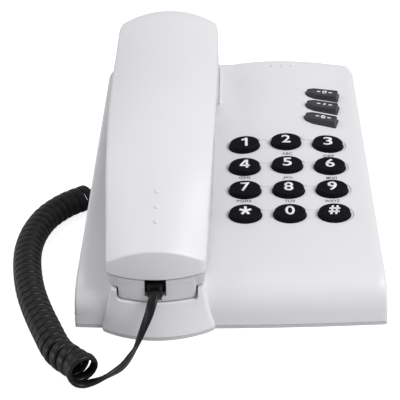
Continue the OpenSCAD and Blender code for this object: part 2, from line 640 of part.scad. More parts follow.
module ear_gasket() color([0.1, 0.1, 0.1]) in_frame() ear_frame() translate([0, 0, hs_wall]) difference() {
    cylinder(d = 36, h = 0.8, $fn = 64);
    translate([0, 0, -1]) cylinder(d = 29, h = 3, $fn = 64);
}

module mic_boot() color([0.12, 0.12, 0.12]) in_frame() mic_frame() translate([0, 0, hs_wall]) difference() {
    cylinder(d = 14, h = 7, $fn = 48);
    translate([0, 0, 0.8]) cylinder(d = 9.8, h = 9, $fn = 48);
    translate([0, 0, -1]) cylinder(d = 3, h = 4, $fn = 24);
}

module microphone() color([0.7, 0.7, 0.72]) in_frame() mic_frame()
    translate([0, 0, hs_wall + 0.8]) cylinder(d = 9.7, h = 6.7, $fn = 48);

module handset_jack() color([0.08, 0.08, 0.08]) in_frame() translate([hs_jack[0], mic_cup[1] + 0.3, hs_jack[1]])
    rotate(180) difference() {
        socket(plug[0] + 2.2, plug[1] + 1.5, 14, plug[0] + 0.2, plug[1] + 0.2, 10.6);
        translate([plug[0] / 2 - 3, -3, -plug[1] / 2 - 2]) cube([2.4, 5, 3]);
    }

module handset_weight() color([0.5, 0.5, 0.52]) in_frame()
    translate([hs_x - 9, 150, hs_edge(160) - 16.7]) cube([18, 22, 5]);

// ----------------------------------------------------------------------- cord

module cord_plug() difference() {
    translate([-plug[0] / 2, -4.2, -plug[1] / 2]) cube([plug[0], plug[2], plug[1]]);
    for (i = [-1.5:1.5]) translate([i * 1.1 - 0.3, plug[2] - 8, -plug[1] / 2 - 1]) cube([0.6, 5, 2.4]);
}

module handset_plug() color([0.05, 0.05, 0.05]) in_frame()
    translate([hs_jack[0], mic_cup[1], hs_jack[1]]) cord_plug();

module base_plug() color([0.05, 0.05, 0.05]) in_frame()
    translate([tail_route[0].x, cord_jack_y, cord_jack_z]) rotate(-90)
        translate([-plug[0] / 2, 0, -plug[1] / 2]) cube([plug[0], 10.4, plug[1]]);

function unit(v) = v / norm(v);
function heading(route, i) = let (n = len(route) - 1, a = route[max(i - 1, 0)], b = route[min(i + 1, n)])
    unit([b.x - a.x, b.y - a.y, b.z - a.z]);

// Ring of a flat cord: eight points of a rounded strip, square to its heading
function strip_ring(route, i) =
    let (p = route[i], t = heading(route, i), flat = unit([-t.y, t.x, 0]), up = cross(t, flat),
        a = p[3], u = cos(a) * flat + sin(a) * up, v = cos(a) * up - sin(a) * flat,
        w = cord_w / 2, h = cord_t / 2)
    [for (c = [[w, h / 2], [w - h / 2, h], [h / 2 - w, h], [-w, h / 2],
        [-w, -h / 2], [h / 2 - w, -h], [w - h / 2, -h], [w, -h / 2]])
        [p.x, p.y, p.z] + c[0] * u + c[1] * v];

// Extra ring between each pair of points, on a smooth curve through them with
// straight ends
function smooth(route) = let (n = len(route) - 1) [for (i = [0:n]) each i == n ? [route[n]] :
    [route[i], i == 0 || i == n - 1 ? (route[i] + route[i + 1]) / 2
        : (9 * (route[i] + route[i + 1]) - route[i - 1] - route[i + 2]) / 16]];

module strip(route) loft([for (i = [0:len(route) - 1]) strip_ring(route, i)]);

module cord_lead() color([0.03, 0.03, 0.03]) in_frame() strip(smooth(lead_route));

module cord_tail() color([0.03, 0.03, 0.03]) in_frame() strip(smooth(tail_route));

// Outer shape of the curly cord's coil
module cord_coil() color([0.03, 0.03, 0.03]) in_frame() {
    r = coil_d / 2;
    route = smooth([for (p = coil_route) [p.x, p.y, r]]);
    ring = function (i) let (p = route[i], t = heading(route, i), side = [-t.y, t.x, 0])
        [for (j = [0:11]) p + r * (cos(30 * j) * side + sin(30 * j) * [0, 0, 1])];
    loft([for (i = [0:len(route) - 1]) ring(i)]);
}

top_cover();
bottom_cover();
rubber_feet();
base_screws();
ballast_plate();
main_board();
board_screws();
board_parts();
keypad_mat();
key_1();
key_2();
key_3();
key_4();
key_5();
key_6();
key_7();
key_8();
key_9();
key_star();
key_0();
key_hash();
key_redial();
key_flash();
key_mute();
hook_plunger();
hook_spring();
hook_switch();
hook_board();
hook_board_screws();
buzzer();
line_jack();
base_cord_jack();
hanger_tab();
ringer_knob();
ringer_switch();
handset_back();
handset_front();
handset_screws();
earpiece_speaker();
ear_gasket();
microphone();
mic_boot();
handset_jack();
handset_weight();
handset_plug();
base_plug();
cord_lead();
cord_coil();
cord_tail();
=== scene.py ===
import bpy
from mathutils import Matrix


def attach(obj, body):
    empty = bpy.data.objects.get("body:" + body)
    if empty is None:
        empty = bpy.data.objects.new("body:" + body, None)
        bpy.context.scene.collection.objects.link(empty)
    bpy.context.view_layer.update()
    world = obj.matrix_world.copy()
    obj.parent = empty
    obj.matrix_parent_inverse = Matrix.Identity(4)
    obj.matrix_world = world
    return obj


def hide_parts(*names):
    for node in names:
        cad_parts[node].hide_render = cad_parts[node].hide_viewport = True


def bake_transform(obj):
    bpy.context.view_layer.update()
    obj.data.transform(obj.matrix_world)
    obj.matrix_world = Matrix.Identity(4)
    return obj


bl_info = {
    "name": "Corded Desk Telephone",
    "version": (1, 0, 0),
    "blender": (4, 5, 0),
    "location": "View3D > Sidebar > Telephone",
    "description": "Shells, keys, prints, curly cord and finishes of a corded desk telephone",
    "category": "Object",
}

import math

import bmesh
import bpy
import numpy as np
from mathutils import Matrix, Vector

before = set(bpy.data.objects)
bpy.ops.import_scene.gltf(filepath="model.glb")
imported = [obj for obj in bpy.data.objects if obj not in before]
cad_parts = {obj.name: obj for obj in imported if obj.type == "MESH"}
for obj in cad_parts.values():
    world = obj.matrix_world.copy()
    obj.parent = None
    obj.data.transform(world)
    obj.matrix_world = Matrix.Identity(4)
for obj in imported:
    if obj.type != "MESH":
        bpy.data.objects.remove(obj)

# Lengths are in millimetres, Y from the base's front edge and Z from the table.
MM = 0.001
MERGE = 0.002 * MM
TILT = math.radians(12.4)  # tilt of the deck
DECK_Y, DECK_Z = 82.0, 38.7  # the deck's reference point
BASE_W, BASE_L = 160.0, 191.997
MID_Y = 90.4985  # the frame's origin
HALF_W = BASE_W / 2
TAPER = 3.9  # how much narrower each side is at the rear
FRONT_LEAN = math.radians(8.5)
FRONT_R = 19.0
ROLL_TOP, ROLL_FOOT = 102.4, 171.5  # degrees where the front roll meets the deck and the front
BOW = 2.3  # bulge of the front and rear edges in plan
WALL = 2.4
PART_H = 2.4  # the base's parting line
CORE = 10.0  # depth of the skeleton from which the base's skin is found
SADDLE_FOOT, SADDLE_RIM = (29.0, -4.0, 9.0), (23.5, -2.3, 3.8)  # half width, ends, bulge
SADDLE_TOP = DECK_Z - 13.5
POSTS = [(-70.3, 58.0), (-69.6, 108.0), (66.0, 24.0), (67.0, 179.997)]

HS_X = -36.8  # middle of the handset
SHELL_X = HS_X - 0.25  # middle of its shells
HS_SCREWS = (55.0, 132.0)
HS_WALL = 2.2
HS_PARTING = 0.5  # half of the gap between the handset's shells
HS_DOTS = (12.0, 20.0, 28.0)
JACK_X = -37.6
MIC_TILT = math.tan(math.radians(5.5))  # climb of the mouthpiece pocket's floor
CUP_FLOOR, CUP_ROOF, CUP_LEAN = 19.25, 29.3, 9.0  # the last is the height of the leaning front

PAD_X = 32.0  # middle of the key columns
BASE_DOTS = (PAD_X - 6, PAD_X, PAD_X + 6)
PAD_V = 2.0  # middle of the key rows, from the deck's reference line
COL, ROW = 24.0, 19.4
ROW_ARCH = (2.5, 1.4, 0.0, 0.0)  # rise of the middle key
ROW_TURN = (12.0, 3.0, 0.0, 0.0)  # turn of the outer keys
KEY_W, KEY_L, KEY_H = 17.9, 12.9, 2.4
FIN_W, FIN_L, FIN_H = 19.6, 7.8, 3.2
STEM_R, STEM_FOOT = 2.5, -8.2
FLANGE_LOW, FLANGE_TOP = -3.5, -2.5
KEY_GAP = 0.3
BOARD_BOSSES = [(PAD_X + side, v) for v in (-38.0, 82.0) for side in (-38.5, 38.5)]
HOOK_BOSSES = [(-45.0, 62.0), (-30.0, 88.0)]
POST_R, POST_BORE = 3.75, 1.35
BOSS_R, BOSS_BORE = 3.0, 1.1
HS_BACK_POST_R, HS_FRONT_POST_R = 3.0, 3.5
HS_BORE, HS_SCREW_R, HS_HEAD_R = 1.15, 1.45, 2.7
SLIT_R, SOUND_HOLE_R = 0.8, 1.1

# Low and high corners, with X from the middle of the handset
MIC_LINER = (-22.4, -12, 15.7), (22.4, 48.9, 70)
MIC_POCKET = (-20.4, -20, 17.3), (20.5, 46.5, 75)
MIC_ROOM = (-17.1, 0.4, 21.9), (17.1, 42.3, 32)
# The same, along, up and out of the deck
EAR_LINER = (-26.4, 53.9, -9.9), (26.4, 109.7, 30)
EAR_POCKET = (-24, 56.3, -7.5), (24, 107.3, 24)
EAR_RIDGE = (29.8, 70.3, -1), (31.1, 106.3, 0.9)
EAR_CUP = (-23, 57.3, -7), (23, 106.2, 9)
EAR_ROOM = (-20.8, 59.5, -4.8), (20.8, 104, 14)
TAB_SLOT = (-5.1, 51.3, -7.1), (5.1, 53.7, 5)
HOOK_SLOT = (-28.3, 63.2, -20), (-19.7, 68.8, 8)  # X from the base's middle
# Low and high corners, with X from the jack's middle
JACK_ROOM = (-5.2, -8, 22.2), (5.6, 13, 31.5)
LATCH_ROOM = (-2.8, -8, 19.9), (3.3, 0.2, 22.9)
# Low and high corners, with X from the base's middle: line jack, cord jack, ringer control
WINDOWS = [((14, 186, 7.5), (26, 198, 17)), ((-85, 129, 4.9), (-73, 139, 13.9)),
           ((71.6, 112, 14.7), (83.6, 124, 19.3))]

INK_GAP, INK_SINK = 0.03, 0.05  # of a print, above its key and into it
INK, LETTER_INK = 0.08, 0.1  # thickness of the prints on the keys and on the deck
DIGIT_W, LETTER_W = 5.2, 2.0
DIGIT_BOLD, LETTER_BOLD = 0.016, 0.004
PRINT_UP = 0.7  # how far the prints are above the middle of their keys


# ------------------------------------------------------------------ settings


def colour(name, what, default):
    return bpy.props.FloatVectorProperty(name=name, description="Colour of " + what, size=3,
                                         subtype="COLOR", min=0, max=1, default=default)


def length(name, description, default, low, high):
    """Setting in metres from millimetres."""
    return bpy.props.FloatProperty(name=name, description=description, default=default * MM,
                                   min=low * MM, max=high * MM, unit="LENGTH")


class PhoneFinish(bpy.types.PropertyGroup):
    shell: colour("Shell", "the moulded shells", (0.74, 0.735, 0.745))
    keys: colour("Number keys", "the number keys", (0.006, 0.006, 0.0075))
    fins: colour("Function keys", "the three function keys", (0.05, 0.051, 0.055))
    cord: colour("Cord", "the cord and its plugs", (0.005, 0.005, 0.006))


class PhoneCord(bpy.types.PropertyGroup):
    coil_radius: length("Coil radius", "Radius of the coil at the middle of the cord", 6.55, 4, 8)
    width: length("Cord width", "Width of the flat cord", 5, 3, 5.2)
    thickness: length("Cord thickness", "Thickness of the flat cord", 2.4, 1.5, 3)
    turns: bpy.props.IntProperty(
        name="Turns", description="Whole turns of the coil", default=35, min=10, max=60)


class PhoneKeys(bpy.types.PropertyGroup):
    digit_height: length("Digit height", "Height of the numbers on the keys", 6.9, 3, 9)
    letter_height: length("Letter height", "Height of the letters between the rows", 2.1, 1, 3)


# ------------------------------------------------------------------ geometry


def from_base(p):
    """Millimetres from the base's front edge to metres in the frame."""
    return Vector((p[0] * MM, (p[1] - MID_Y) * MM, p[2] * MM))


def on_deck(u, v, w=0.0):
    """Base coordinates of a point given along, up and out of the deck."""
    c, s = math.cos(TILT), math.sin(TILT)
    return (u, DECK_Y + v * c - w * s, DECK_Z + v * s + w * c)


def deck_place(p):
    return from_base(on_deck(*p))


def turned_place(u, v, turn):
    """Placer from coordinates turned by an angle in degrees about a point of the deck."""
    turn = math.radians(turn)
    c, s = math.cos(turn), math.sin(turn)
    return lambda p: deck_place((u + p[0] * c - p[1] * s, v + p[0] * s + p[1] * c, p[2]))


def polar(r, a):
    return r * math.cos(a), r * math.sin(a)


UP = (0, 0, 1)
DECK_UP = Vector(on_deck(0, 0, 1)) - Vector(on_deck(0, 0, 0))


def half_width(y):
    return HALF_W - TAPER * y / BASE_L


def smoothstep(t):
    t = np.clip(t, 0.0, 1.0)
    return t * t * (3 - 2 * t)


def unit_rows(rows):
    return rows / np.linalg.norm(rows, axis=1)[:, None]


def turns(count, start=0.0):
    """Angles spaced evenly round a circle."""
    return [start + 2 * math.pi * i / count for i in range(count)]


def oval(w, l, z, count=56):
    return [(w / 2 * math.cos(a), l / 2 * math.sin(a), z) for a in turns(count)]


def ring_at(outline, z):
    return [(x, y, z) for x, y in outline]


def soft_corner(a, p, b, back, steps):
    """Points of a corner at p between a and b, cut back by a length."""
    p0, p1 = (p + (q - p) / np.linalg.norm(q - p) * back for q in (a, b))
    return [(1 - t) ** 2 * p0 + 2 * t * (1 - t) * p + t * t * p1 for t in np.linspace(0, 1, steps)]


def soft_loop(pts, back, share, steps, straight=2.0):
    """Closed outline with soft corners, each cut back by no more than a share of its edges.
    Corners whose cosine reaches straight stay as they are."""
    out = []
    for a, p, b in zip(pts[-1:] + pts, pts, pts[1:] + pts):
        la, lb = np.linalg.norm(a - p), np.linalg.norm(b - p)
        if np.dot((p - a) / la, (b - p) / lb) < straight:
            out += soft_corner(a, p, b, min(back, la * share, lb * share), steps)
        else:
            out.append(p)
    return np.array(out)


def reach_inside(inside, count, limit, rounds):
    """How far each of a set of rays goes before it leaves a form."""
    low, high = np.zeros(count), np.full(count, limit)
    for _ in range(rounds):
        mid = (low + high) / 2
        hit = inside(mid)
        low, high = np.where(hit, mid, low), np.where(hit, high, mid)
    return low


# -------------------------------------------------------------------- meshes


def link(name, data):
    obj = bpy.data.objects.new(name, data)
    bpy.context.scene.collection.objects.link(obj)
    return obj


def piece_from(name, points, faces, place=from_base):
    """New object from points in millimetres and faces, with doubles merged."""
    mesh = bpy.data.meshes.new(name)
    mesh.from_pydata([place(p) for p in points], [], faces)
    obj = link(name, mesh)
    tidy(obj)
    return obj


def rework(obj, change):
    """Run a change on a piece's mesh."""
    bm = bmesh.new()
    bm.from_mesh(obj.data)
    change(bm)
    bm.to_mesh(obj.data)
    bm.free()


def tidy(obj, outward=True):
    """Merge doubles, drop faces without area and turn the faces outward."""

    def clean(bm):
        bmesh.ops.remove_doubles(bm, verts=bm.verts, dist=MERGE)
        bmesh.ops.dissolve_degenerate(bm, edges=bm.edges, dist=MERGE)
        if outward:
            bmesh.ops.recalc_face_normals(bm, faces=bm.faces)

    rework(obj, clean)


def soften(obj, angle):
    """Smooth shading, with edges sharper than the angle kept."""

    def smooth(bm):
        for f in bm.faces:
            f.smooth = True
        for e in bm.edges:
            e.smooth = not (len(e.link_faces) == 2 and e.calc_face_angle(0) > math.radians(angle))

    rework(obj, smooth)


def skin(name, rings, place=from_base, capped=True):
    """Closed skin through rings of the same count."""
    count, size = len(rings[0]), len(rings) * len(rings[0])
    faces = []
    for j in range(0, size - count, count):
        for i in range(count):
            a, b = j + i, j + (i + 1) % count
            faces.append((a, b, b + count, a + count))
    if capped:
        faces += [tuple(range(count - 1, -1, -1)), tuple(range(size - count, size))]
    return piece_from(name, [p for ring in rings for p in ring], faces, place)


def made_mesh(obj):
    """New mesh of an object as its modifiers or its text make it."""
    bpy.context.view_layer.update()
    depsgraph = bpy.context.evaluated_depsgraph_get()
    return bpy.data.meshes.new_from_object(obj.evaluated_get(depsgraph))


def apply_modifiers(obj):
    made = made_mesh(obj)
    obj.modifiers.clear()
    old, obj.data = obj.data, made
    bpy.data.meshes.remove(old)


def combine(target, tools, operation):
    """Boolean of a closed piece with others, which are used up."""
    tool = joined("tools", tools) if len(tools) > 1 else tools[0]
    mod = target.modifiers.new("combine", "BOOLEAN")
    mod.operation = operation
    mod.solver = "EXACT"
    mod.object = tool
    apply_modifiers(target)
    bpy.data.objects.remove(tool)


def add(target, *tools):
    combine(target, tools, "UNION")


def cut(target, *tools):
    combine(target, tools, "DIFFERENCE")


def joined(name, pieces):
    """One object with the meshes of several, which are removed."""
    bm = bmesh.new()
    for p in pieces:
        bm.from_mesh(p.data)
        bpy.data.objects.remove(p)
    mesh = bpy.data.meshes.new(name)
    bm.to_mesh(mesh)
    bm.free()
    return link(name, mesh)


def soft_box(corners, radius=0.0, segments=4, place=from_base, mid=HS_X, shear=0.0, roof=0.0):
    """Box with rounded edges; its floor and top climb along its second axis by shear and roof."""
    low, high = corners
    pts = [(mid + x, y, z + (y - low[1]) * climb) for z, climb in ((low[2], shear), (high[2], roof))
           for x, y in ((low[0], low[1]), (high[0], low[1]), (high[0], high[1]), (low[0], high[1]))]
    faces = [(3, 2, 1, 0), (4, 5, 6, 7), (0, 1, 5, 4), (1, 2, 6, 5), (2, 3, 7, 6), (3, 0, 4, 7)]
    obj = piece_from("box", pts, faces, place)
    if radius:
        rework(obj, lambda bm: bmesh.ops.bevel(
            bm, geom=bm.edges[:], offset=radius * MM, segments=segments, profile=0.5,
            affect="EDGES", clamp_overlap=True))
    return obj


def rod(at, axis, radius, start, end, sides=32):
    """Straight round bar along an axis, in base coordinates."""
    axis = Vector(axis).normalized()
    u = axis.orthogonal().normalized()
    v = axis.cross(u)
    return skin("rod", [[Vector(at) + axis * d + radius * (math.cos(a) * u + math.sin(a) * v)
                         for a in turns(sides)] for d in (start, end)])


def boss_rods(radius, board, hook, sides=32):
    """Rods on the middles of the bosses under the deck, from their ends for both kinds."""
    return [rod(on_deck(u, v), DECK_UP, radius, *ends, sides)
            for spots, ends in ((BOARD_BOSSES, board), (HOOK_BOSSES, hook)) for u, v in spots]


# ----------------------------------------------------------------- materials

FINISHES = {}


def set_inputs(node, **values):
    """Values of a node's inputs, with _ for the spaces in their labels."""
    for label, value in values.items():
        node.inputs[label.replace("_", " ")].default_value = value


def new_material(name):
    mat = bpy.data.materials.new(name)
    mat.use_nodes = True
    shader = mat.node_tree.nodes["Principled BSDF"]

    def node(kind, **values):
        made = mat.node_tree.nodes.new("ShaderNode" + kind)
        set_inputs(made, **values)
        return made

    def wire(source, output, target, entry):
        mat.node_tree.links.new(source.outputs[output], target.inputs[entry])

    return mat, shader, node, wire


def moulded(name, tint, rough, spread, grain, grain_size, speckle, specular=0.5, metallic=0.0,
            coat=0.0, brushed=None):
    """Moulded, rubber or metal finish: cloudy tone, fine grain and uneven gloss.
    grain_size is in millimetres; brushed stretches the grain along one axis."""
    mat, shader, node, wire = new_material(name)
    set_inputs(shader, Specular_IOR_Level=specular, Metallic=metallic, Coat_Weight=coat,
               Coat_Roughness=0.25)
    place = node("Mapping")
    wire(node("TexCoord"), "Object", place, "Vector")
    if brushed:
        place.inputs["Scale"].default_value = brushed
    cloud = node("TexNoise", Scale=45.0, Detail=3.0)
    fine = node("TexNoise", Scale=1.0 / (grain_size * MM), Detail=2.0, Roughness=0.6)
    for noise in (cloud, fine):
        wire(place, "Vector", noise, "Vector")
    tone = node("MixRGB", Color1=(*[c * (1 - spread) for c in tint], 1),
                Color2=(*[min(1, c * (1 + spread)) for c in tint], 1))
    wire(cloud, "Fac", tone, "Fac")
    dots = node("MixRGB", Fac=speckle * 4)
    dots.blend_type = "OVERLAY"
    wire(tone, "Color", dots, "Color1")
    wire(fine, "Color", dots, "Color2")
    wire(dots, "Color", shader, "Base Color")
    gloss = node("MapRange", To_Min=max(0.02, rough - 0.05), To_Max=min(1.0, rough + 0.07))
    wire(cloud, "Fac", gloss, "Value")
    wire(gloss, "Result", shader, "Roughness")
    bump = node("Bump", Strength=grain, Distance=0.03 * MM)
    wire(fine, "Fac", bump, "Height")
    wire(bump, "Normal", shader, "Normal")
    return mat


def paint(obj, finish):
    obj.data.materials.clear()
    obj.data.materials.append(FINISHES[finish])


def dress(obj, finish, body, replaces=(), sharp=None):
    """Shading, material, body and replaced nodes of a new piece."""
    if sharp:
        soften(obj, sharp)
    paint(obj, finish)
    if body:
        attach(obj, body)
    if replaces:
        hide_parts(*replaces)


# --------------------------------------------------------------------- stage

VIEW_PX = 400.0  # side of the render in pixels
FOCAL_PX, CENTRE_PX = 1150.0, 230.6  # focal length, and column of the camera's axis
CAMERA_AT = (5.8, -478.0, 350.2)
CAMERA_TURN = (30.0, 0.61, -0.88)  # pitch, yaw and roll in degrees
LAMPS = [("key_light", (1.0, -0.38, 1.19), (0, 0, 0.03), (0.8, 0.8), 17.6),
         ("side_card", (-0.95, -0.35, 0.16), (0, -0.03, 0.03), (0.5, 0.25), 1.8),
         ("top_light", (-0.95, 0.22, 1.15), (0, 0, 0.03), (0.8, 0.8), 3.0)]


def place_camera(scene):
    cam = bpy.data.cameras.new("camera")
    cam.sensor_fit = "HORIZONTAL"
    cam.sensor_width = 36.0
    cam.lens = FOCAL_PX / VIEW_PX * cam.sensor_width
    cam.shift_x = -(CENTRE_PX - VIEW_PX / 2) / VIEW_PX
    cam.clip_start = 0.05
    cam.clip_end = 20.0
    pitch, yaw, roll = (math.radians(a) for a in CAMERA_TURN)
    ahead = Vector((-math.sin(yaw) * math.cos(pitch), math.cos(yaw) * math.cos(pitch),
                    -math.sin(pitch)))
    right = Vector((math.cos(yaw), math.sin(yaw), 0.0))
    up = right.cross(ahead)
    axes = (math.cos(roll) * right + math.sin(roll) * up,
            -math.sin(roll) * right + math.cos(roll) * up, -ahead)
    scene.camera = link("camera", cam)
    scene.camera.matrix_world = (Matrix.Translation(from_base(CAMERA_AT))
                                 @ Matrix(axes).transposed().to_4x4())


def lay_floor():
    """White table that glows for the camera alone."""
    r = 4000
    floor = piece_from("floor", [(-r, -r, 0), (r, -r, 0), (r, r, 0), (-r, r, 0)], [(0, 1, 2, 3)])
    mat, shader, node, wire = new_material("floor_paper")
    set_inputs(shader, Base_Color=(0.64, 0.64, 0.65, 1), Roughness=0.9, Specular_IOR_Level=0.0,
               Emission_Color=(1, 1, 1, 1))
    glow = node("Math")
    glow.operation = "MULTIPLY"
    glow.inputs[1].default_value = 0.85
    wire(node("LightPath"), "Is Camera Ray", glow, 0)
    wire(glow, "Value", shader, "Emission Strength")
    floor.data.materials.append(mat)


def light_scene(scene):
    world = bpy.data.worlds.new("studio")
    scene.world = world
    world.use_nodes = True
    set_inputs(world.node_tree.nodes["Background"], Color=(0.965, 0.955, 1.0, 1), Strength=0.46)
    for name, at, aim, size, power in LAMPS:
        light = bpy.data.lights.new(name, "AREA")
        light.shape = "RECTANGLE"
        light.size, light.size_y = size
        light.energy = power
        way = (Vector(aim) - Vector(at)).normalized()
        link(name, light).matrix_world = (Matrix.Translation(at)
                                          @ way.to_track_quat("-Z", "Y").to_matrix().to_4x4())
    scene.view_settings.view_transform = "Standard"
    scene.view_settings.look = "None"


def mix_finishes(tone):
    shell, black, fins, cord = (tuple(c) for c in (tone.shell, tone.keys, tone.fins, tone.cord))
    # painted shade: this finish is the shell colour darkened to 0.82, for the down-facing handset
    # front shell and its lip, the base's foot rim and the bottom cover
    low = [c * 0.82 for c in shell]
    zinc, capsule, part = (0.56, 0.56, 0.58), (0.6, 0.6, 0.62), (0.018, 0.018, 0.02)
    jack, iron, brass = (0.006, 0.006, 0.007), (0.19, 0.19, 0.2), (0.62, 0.42, 0.16)
    rubber = (0.02, 0.02, 0.02)
    rows = [
        ("shell", "shell_plastic", shell, 0.36, 0.012, 0.22, 0.45, 0.004, {}),
        ("shell_low", "lower_shell_plastic", low, 0.42, 0.015, 0.25, 0.45, 0.004, {}),
        ("key", "key_plastic", black, 0.5, 0.15, 0.5, 0.3, 0.01, {"specular": 0.07}),
        ("fin", "fin_plastic", fins, 0.45, 0.1, 0.5, 0.3, 0.01, {"specular": 0.35}),
        ("print_white", "white_print", (0.86, 0.86, 0.86), 0.55, 0.01, 0.1, 0.2, 0.002, {}),
        ("print_grey", "grey_print", (0.12, 0.12, 0.125), 0.55, 0.03, 0.1, 0.2, 0.002, {}),
        ("cord", "cord_vinyl", cord, 0.34, 0.15, 0.15, 0.6, 0.01, {"specular": 0.3}),
        ("plug", "plug_plastic", cord, 0.3, 0.1, 0.1, 0.5, 0.01, {"specular": 0.35}),
        ("jack", "jack_plastic", jack, 0.5, 0.1, 0.3, 0.3, 0.01, {"specular": 0.2}),
        ("rubber", "foot_rubber", rubber, 0.85, 0.2, 0.7, 0.25, 0.02, {"specular": 0.2}),
        ("mat", "silicone_mat", (0.5, 0.5, 0.47), 0.6, 0.05, 0.3, 0.4, 0.01, {"specular": 0.4}),
        ("steel", "zinc_steel", zinc, 0.34, 0.06, 0.2, 0.25, 0.01, {"metallic": 1.0}),
        ("iron", "raw_iron", iron, 0.55, 0.15, 0.6, 0.4, 0.03,
         {"metallic": 1.0, "brushed": (1, 6, 1)}),
        ("board", "board_green", (0.02, 0.13, 0.05), 0.35, 0.12, 0.15, 0.8, 0.02, {"coat": 0.4}),
        ("part", "part_black", part, 0.45, 0.2, 0.4, 0.3, 0.02, {}),
        ("brass", "sounder_brass", brass, 0.3, 0.06, 0.15, 0.3, 0.01, {"metallic": 1.0}),
        ("capsule", "capsule_metal", capsule, 0.3, 0.05, 0.15, 0.3, 0.01,
         {"metallic": 1.0, "brushed": (1, 1, 8)}),
    ]
    for key, *values, more in rows:
        FINISHES[key] = moulded(*values, **more)


class PHONE_OT_stage(bpy.types.Operator):
    """Camera, lights, floor and finishes"""

    bl_idname = "phone.stage"
    bl_label = "Stage and finishes"

    def execute(self, context):
        place_camera(context.scene)
        lay_floor()
        light_scene(context.scene)
        mix_finishes(context.scene.phone_finish)
        return {"FINISHED"}


# ---------------------------------------------------------------------- cord

# X, Y, Z and the turn of the flat cord's width from the horizontal, in degrees
LEAD_ROUTE = [
    (JACK_X, -6, 25.6, 0), (-37.7, -8.6, 25.6, 0), (-38.6, -12.8, 23.6, 0), (-40, -16, 19.4, 5),
    (-42.1, -18.6, 14.8, 15), (-44.5, -21.6, 9.8, 35), (-46.9, -25.8, 5.6, 60),
    (-49.6, -31, 3.7, 80), (-52.8, -36.8, 2.9, 80), (-57, -41.4, 2.8, 60),
    (-61.4, -44.6, 2.2, 35), (-65.6, -46.6, 1.7, 12)]
COIL_ROUTE = [
    (-69.4, -47.6), (-71.4, -43.6), (-75.4, -39.4), (-83.2, -31.4), (-92.2, -13), (-101.6, 10),
    (-107.2, 28), (-111.6, 50), (-112.8, 65), (-111.6, 81), (-107, 97), (-98, 110.7),
    (-86.6, 120.4)]
TAIL_ROUTE = [
    (-85.4, 119.6, 1.6, 0), (-85.5, 123.4, 1.5, 0), (-85, 127, 2.5, 5), (-84.2, 130, 4.8, 12),
    (-83, 132.3, 7.3, 12), (-81, 133.7, 9, 5), (-78.6, 134, 9.4, 0)]
COIL_Z = 7.9
COIL_START, COIL_END = 276.0, 228.0  # degrees round the axis
COIL_STEPS = 24  # per turn
FLARE, FLARE_STEPS = 0.75, 36.0  # the first turns are wider


def spline(points, samples):
    """Points on a smooth curve through the given ones."""
    pts = np.array(points, float)
    ext = np.vstack([2 * pts[0] - pts[1], pts, 2 * pts[-1] - pts[-2]])
    mix = lambda a, ta, b, tb, t: (tb - t) / (tb - ta) * a + (t - ta) / (tb - ta) * b
    out = []
    for p0, p1, p2, p3 in zip(ext, ext[1:], ext[2:], ext[3:]):
        t0, t1, t2, t3 = 0.0, *np.cumsum([np.linalg.norm(b[:3] - a[:3]) ** 0.5 + 1e-9
                                          for a, b in ((p0, p1), (p1, p2), (p2, p3))])
        for k in range(samples):
            t = t1 + (t2 - t1) * k / samples
            a1, a2, a3 = mix(p0, t0, p1, t1, t), mix(p1, t1, p2, t2, t), mix(p2, t2, p3, t3, t)
            out.append(mix(mix(a1, t0, a2, t2, t), t1, mix(a2, t1, a3, t3, t), t2, t))
    out.append(pts[-1])
    return np.array(out)


def level_frame(tangent, angle):
    """Direction of a flat cord's width, turned by an angle from the horizontal."""
    flat = np.array([-tangent[1], tangent[0], 0.0])
    flat /= np.linalg.norm(flat)
    up = np.cross(tangent, flat)
    return math.cos(angle) * flat + math.sin(angle) * up


def straight_run(route):
    """Places and width directions of the cord's lead or tail."""
    pts = np.array(route, float)
    ways = unit_rows(np.gradient(pts[:, :3], axis=0))
    return pts[:, :3], [level_frame(t, math.radians(a)) for t, a in zip(ways, pts[:, 3])]


def coil_run(settings):
    """Places and width directions of the coil."""
    radius = settings.coil_radius / MM
    axis = spline([(x, y, COIL_Z) for x, y in COIL_ROUTE], 40)
    s = np.concatenate([[0], np.cumsum(np.linalg.norm(np.diff(axis, axis=0), axis=1))])
    at = lambda d: np.array([np.interp(d, s, axis[:, i]) for i in range(3)])
    turns_made = settings.turns - (COIL_START - COIL_END) / 360.0
    count = int(turns_made * COIL_STEPS)
    step, up = 1.5, np.array([0, 0, 1.0])
    places, widths = [], []
    for k in range(count + 1):
        d = s[-1] * k / count
        t = at(min(d + step, s[-1])) - at(max(d - step, 0))
        t /= np.linalg.norm(t)
        side = np.array([-t[1], t[0], 0.0])
        a = math.radians(COIL_START) + 2 * math.pi * turns_made * k / count
        flare = FLARE * (1 - smoothstep(k / FLARE_STEPS))
        places.append(at(d) + (0, 0, flare)
                      + (radius + flare) * (math.cos(a) * side + math.sin(a) * up))
        widths.append(t)
    return places[::2], widths[::2]


def cord_line(settings):
    """Positions and width directions along the whole cord, in base millimetres."""
    runs = (straight_run(LEAD_ROUTE), coil_run(settings), straight_run(TAIL_ROUTE))
    places = [p for run in runs for p in run[0]]
    widths = [w for run in runs for w in run[1]]
    for i in range(1, len(widths)):
        if np.dot(widths[i], widths[i - 1]) < 0:
            widths[i] = -widths[i]
    line = spline([(*p, *w) for p, w in zip(places, widths)], 2)
    return line[:, :3], line[:, 3:]


def cord_section(half_w, half_t, sides=16):
    """Flat ribbed section with full corners."""
    section = []
    for a in turns(sides, math.pi / sides):
        c, n = math.cos(a), math.sin(a)
        x = math.copysign(abs(c) ** 0.55, c)
        y = math.copysign(abs(n) ** 0.75, n)
        rib = 0.93 + 0.07 * math.cos(3 * math.pi * x) ** 2
        section.append((half_w * x, half_t * y * rib))
    return section


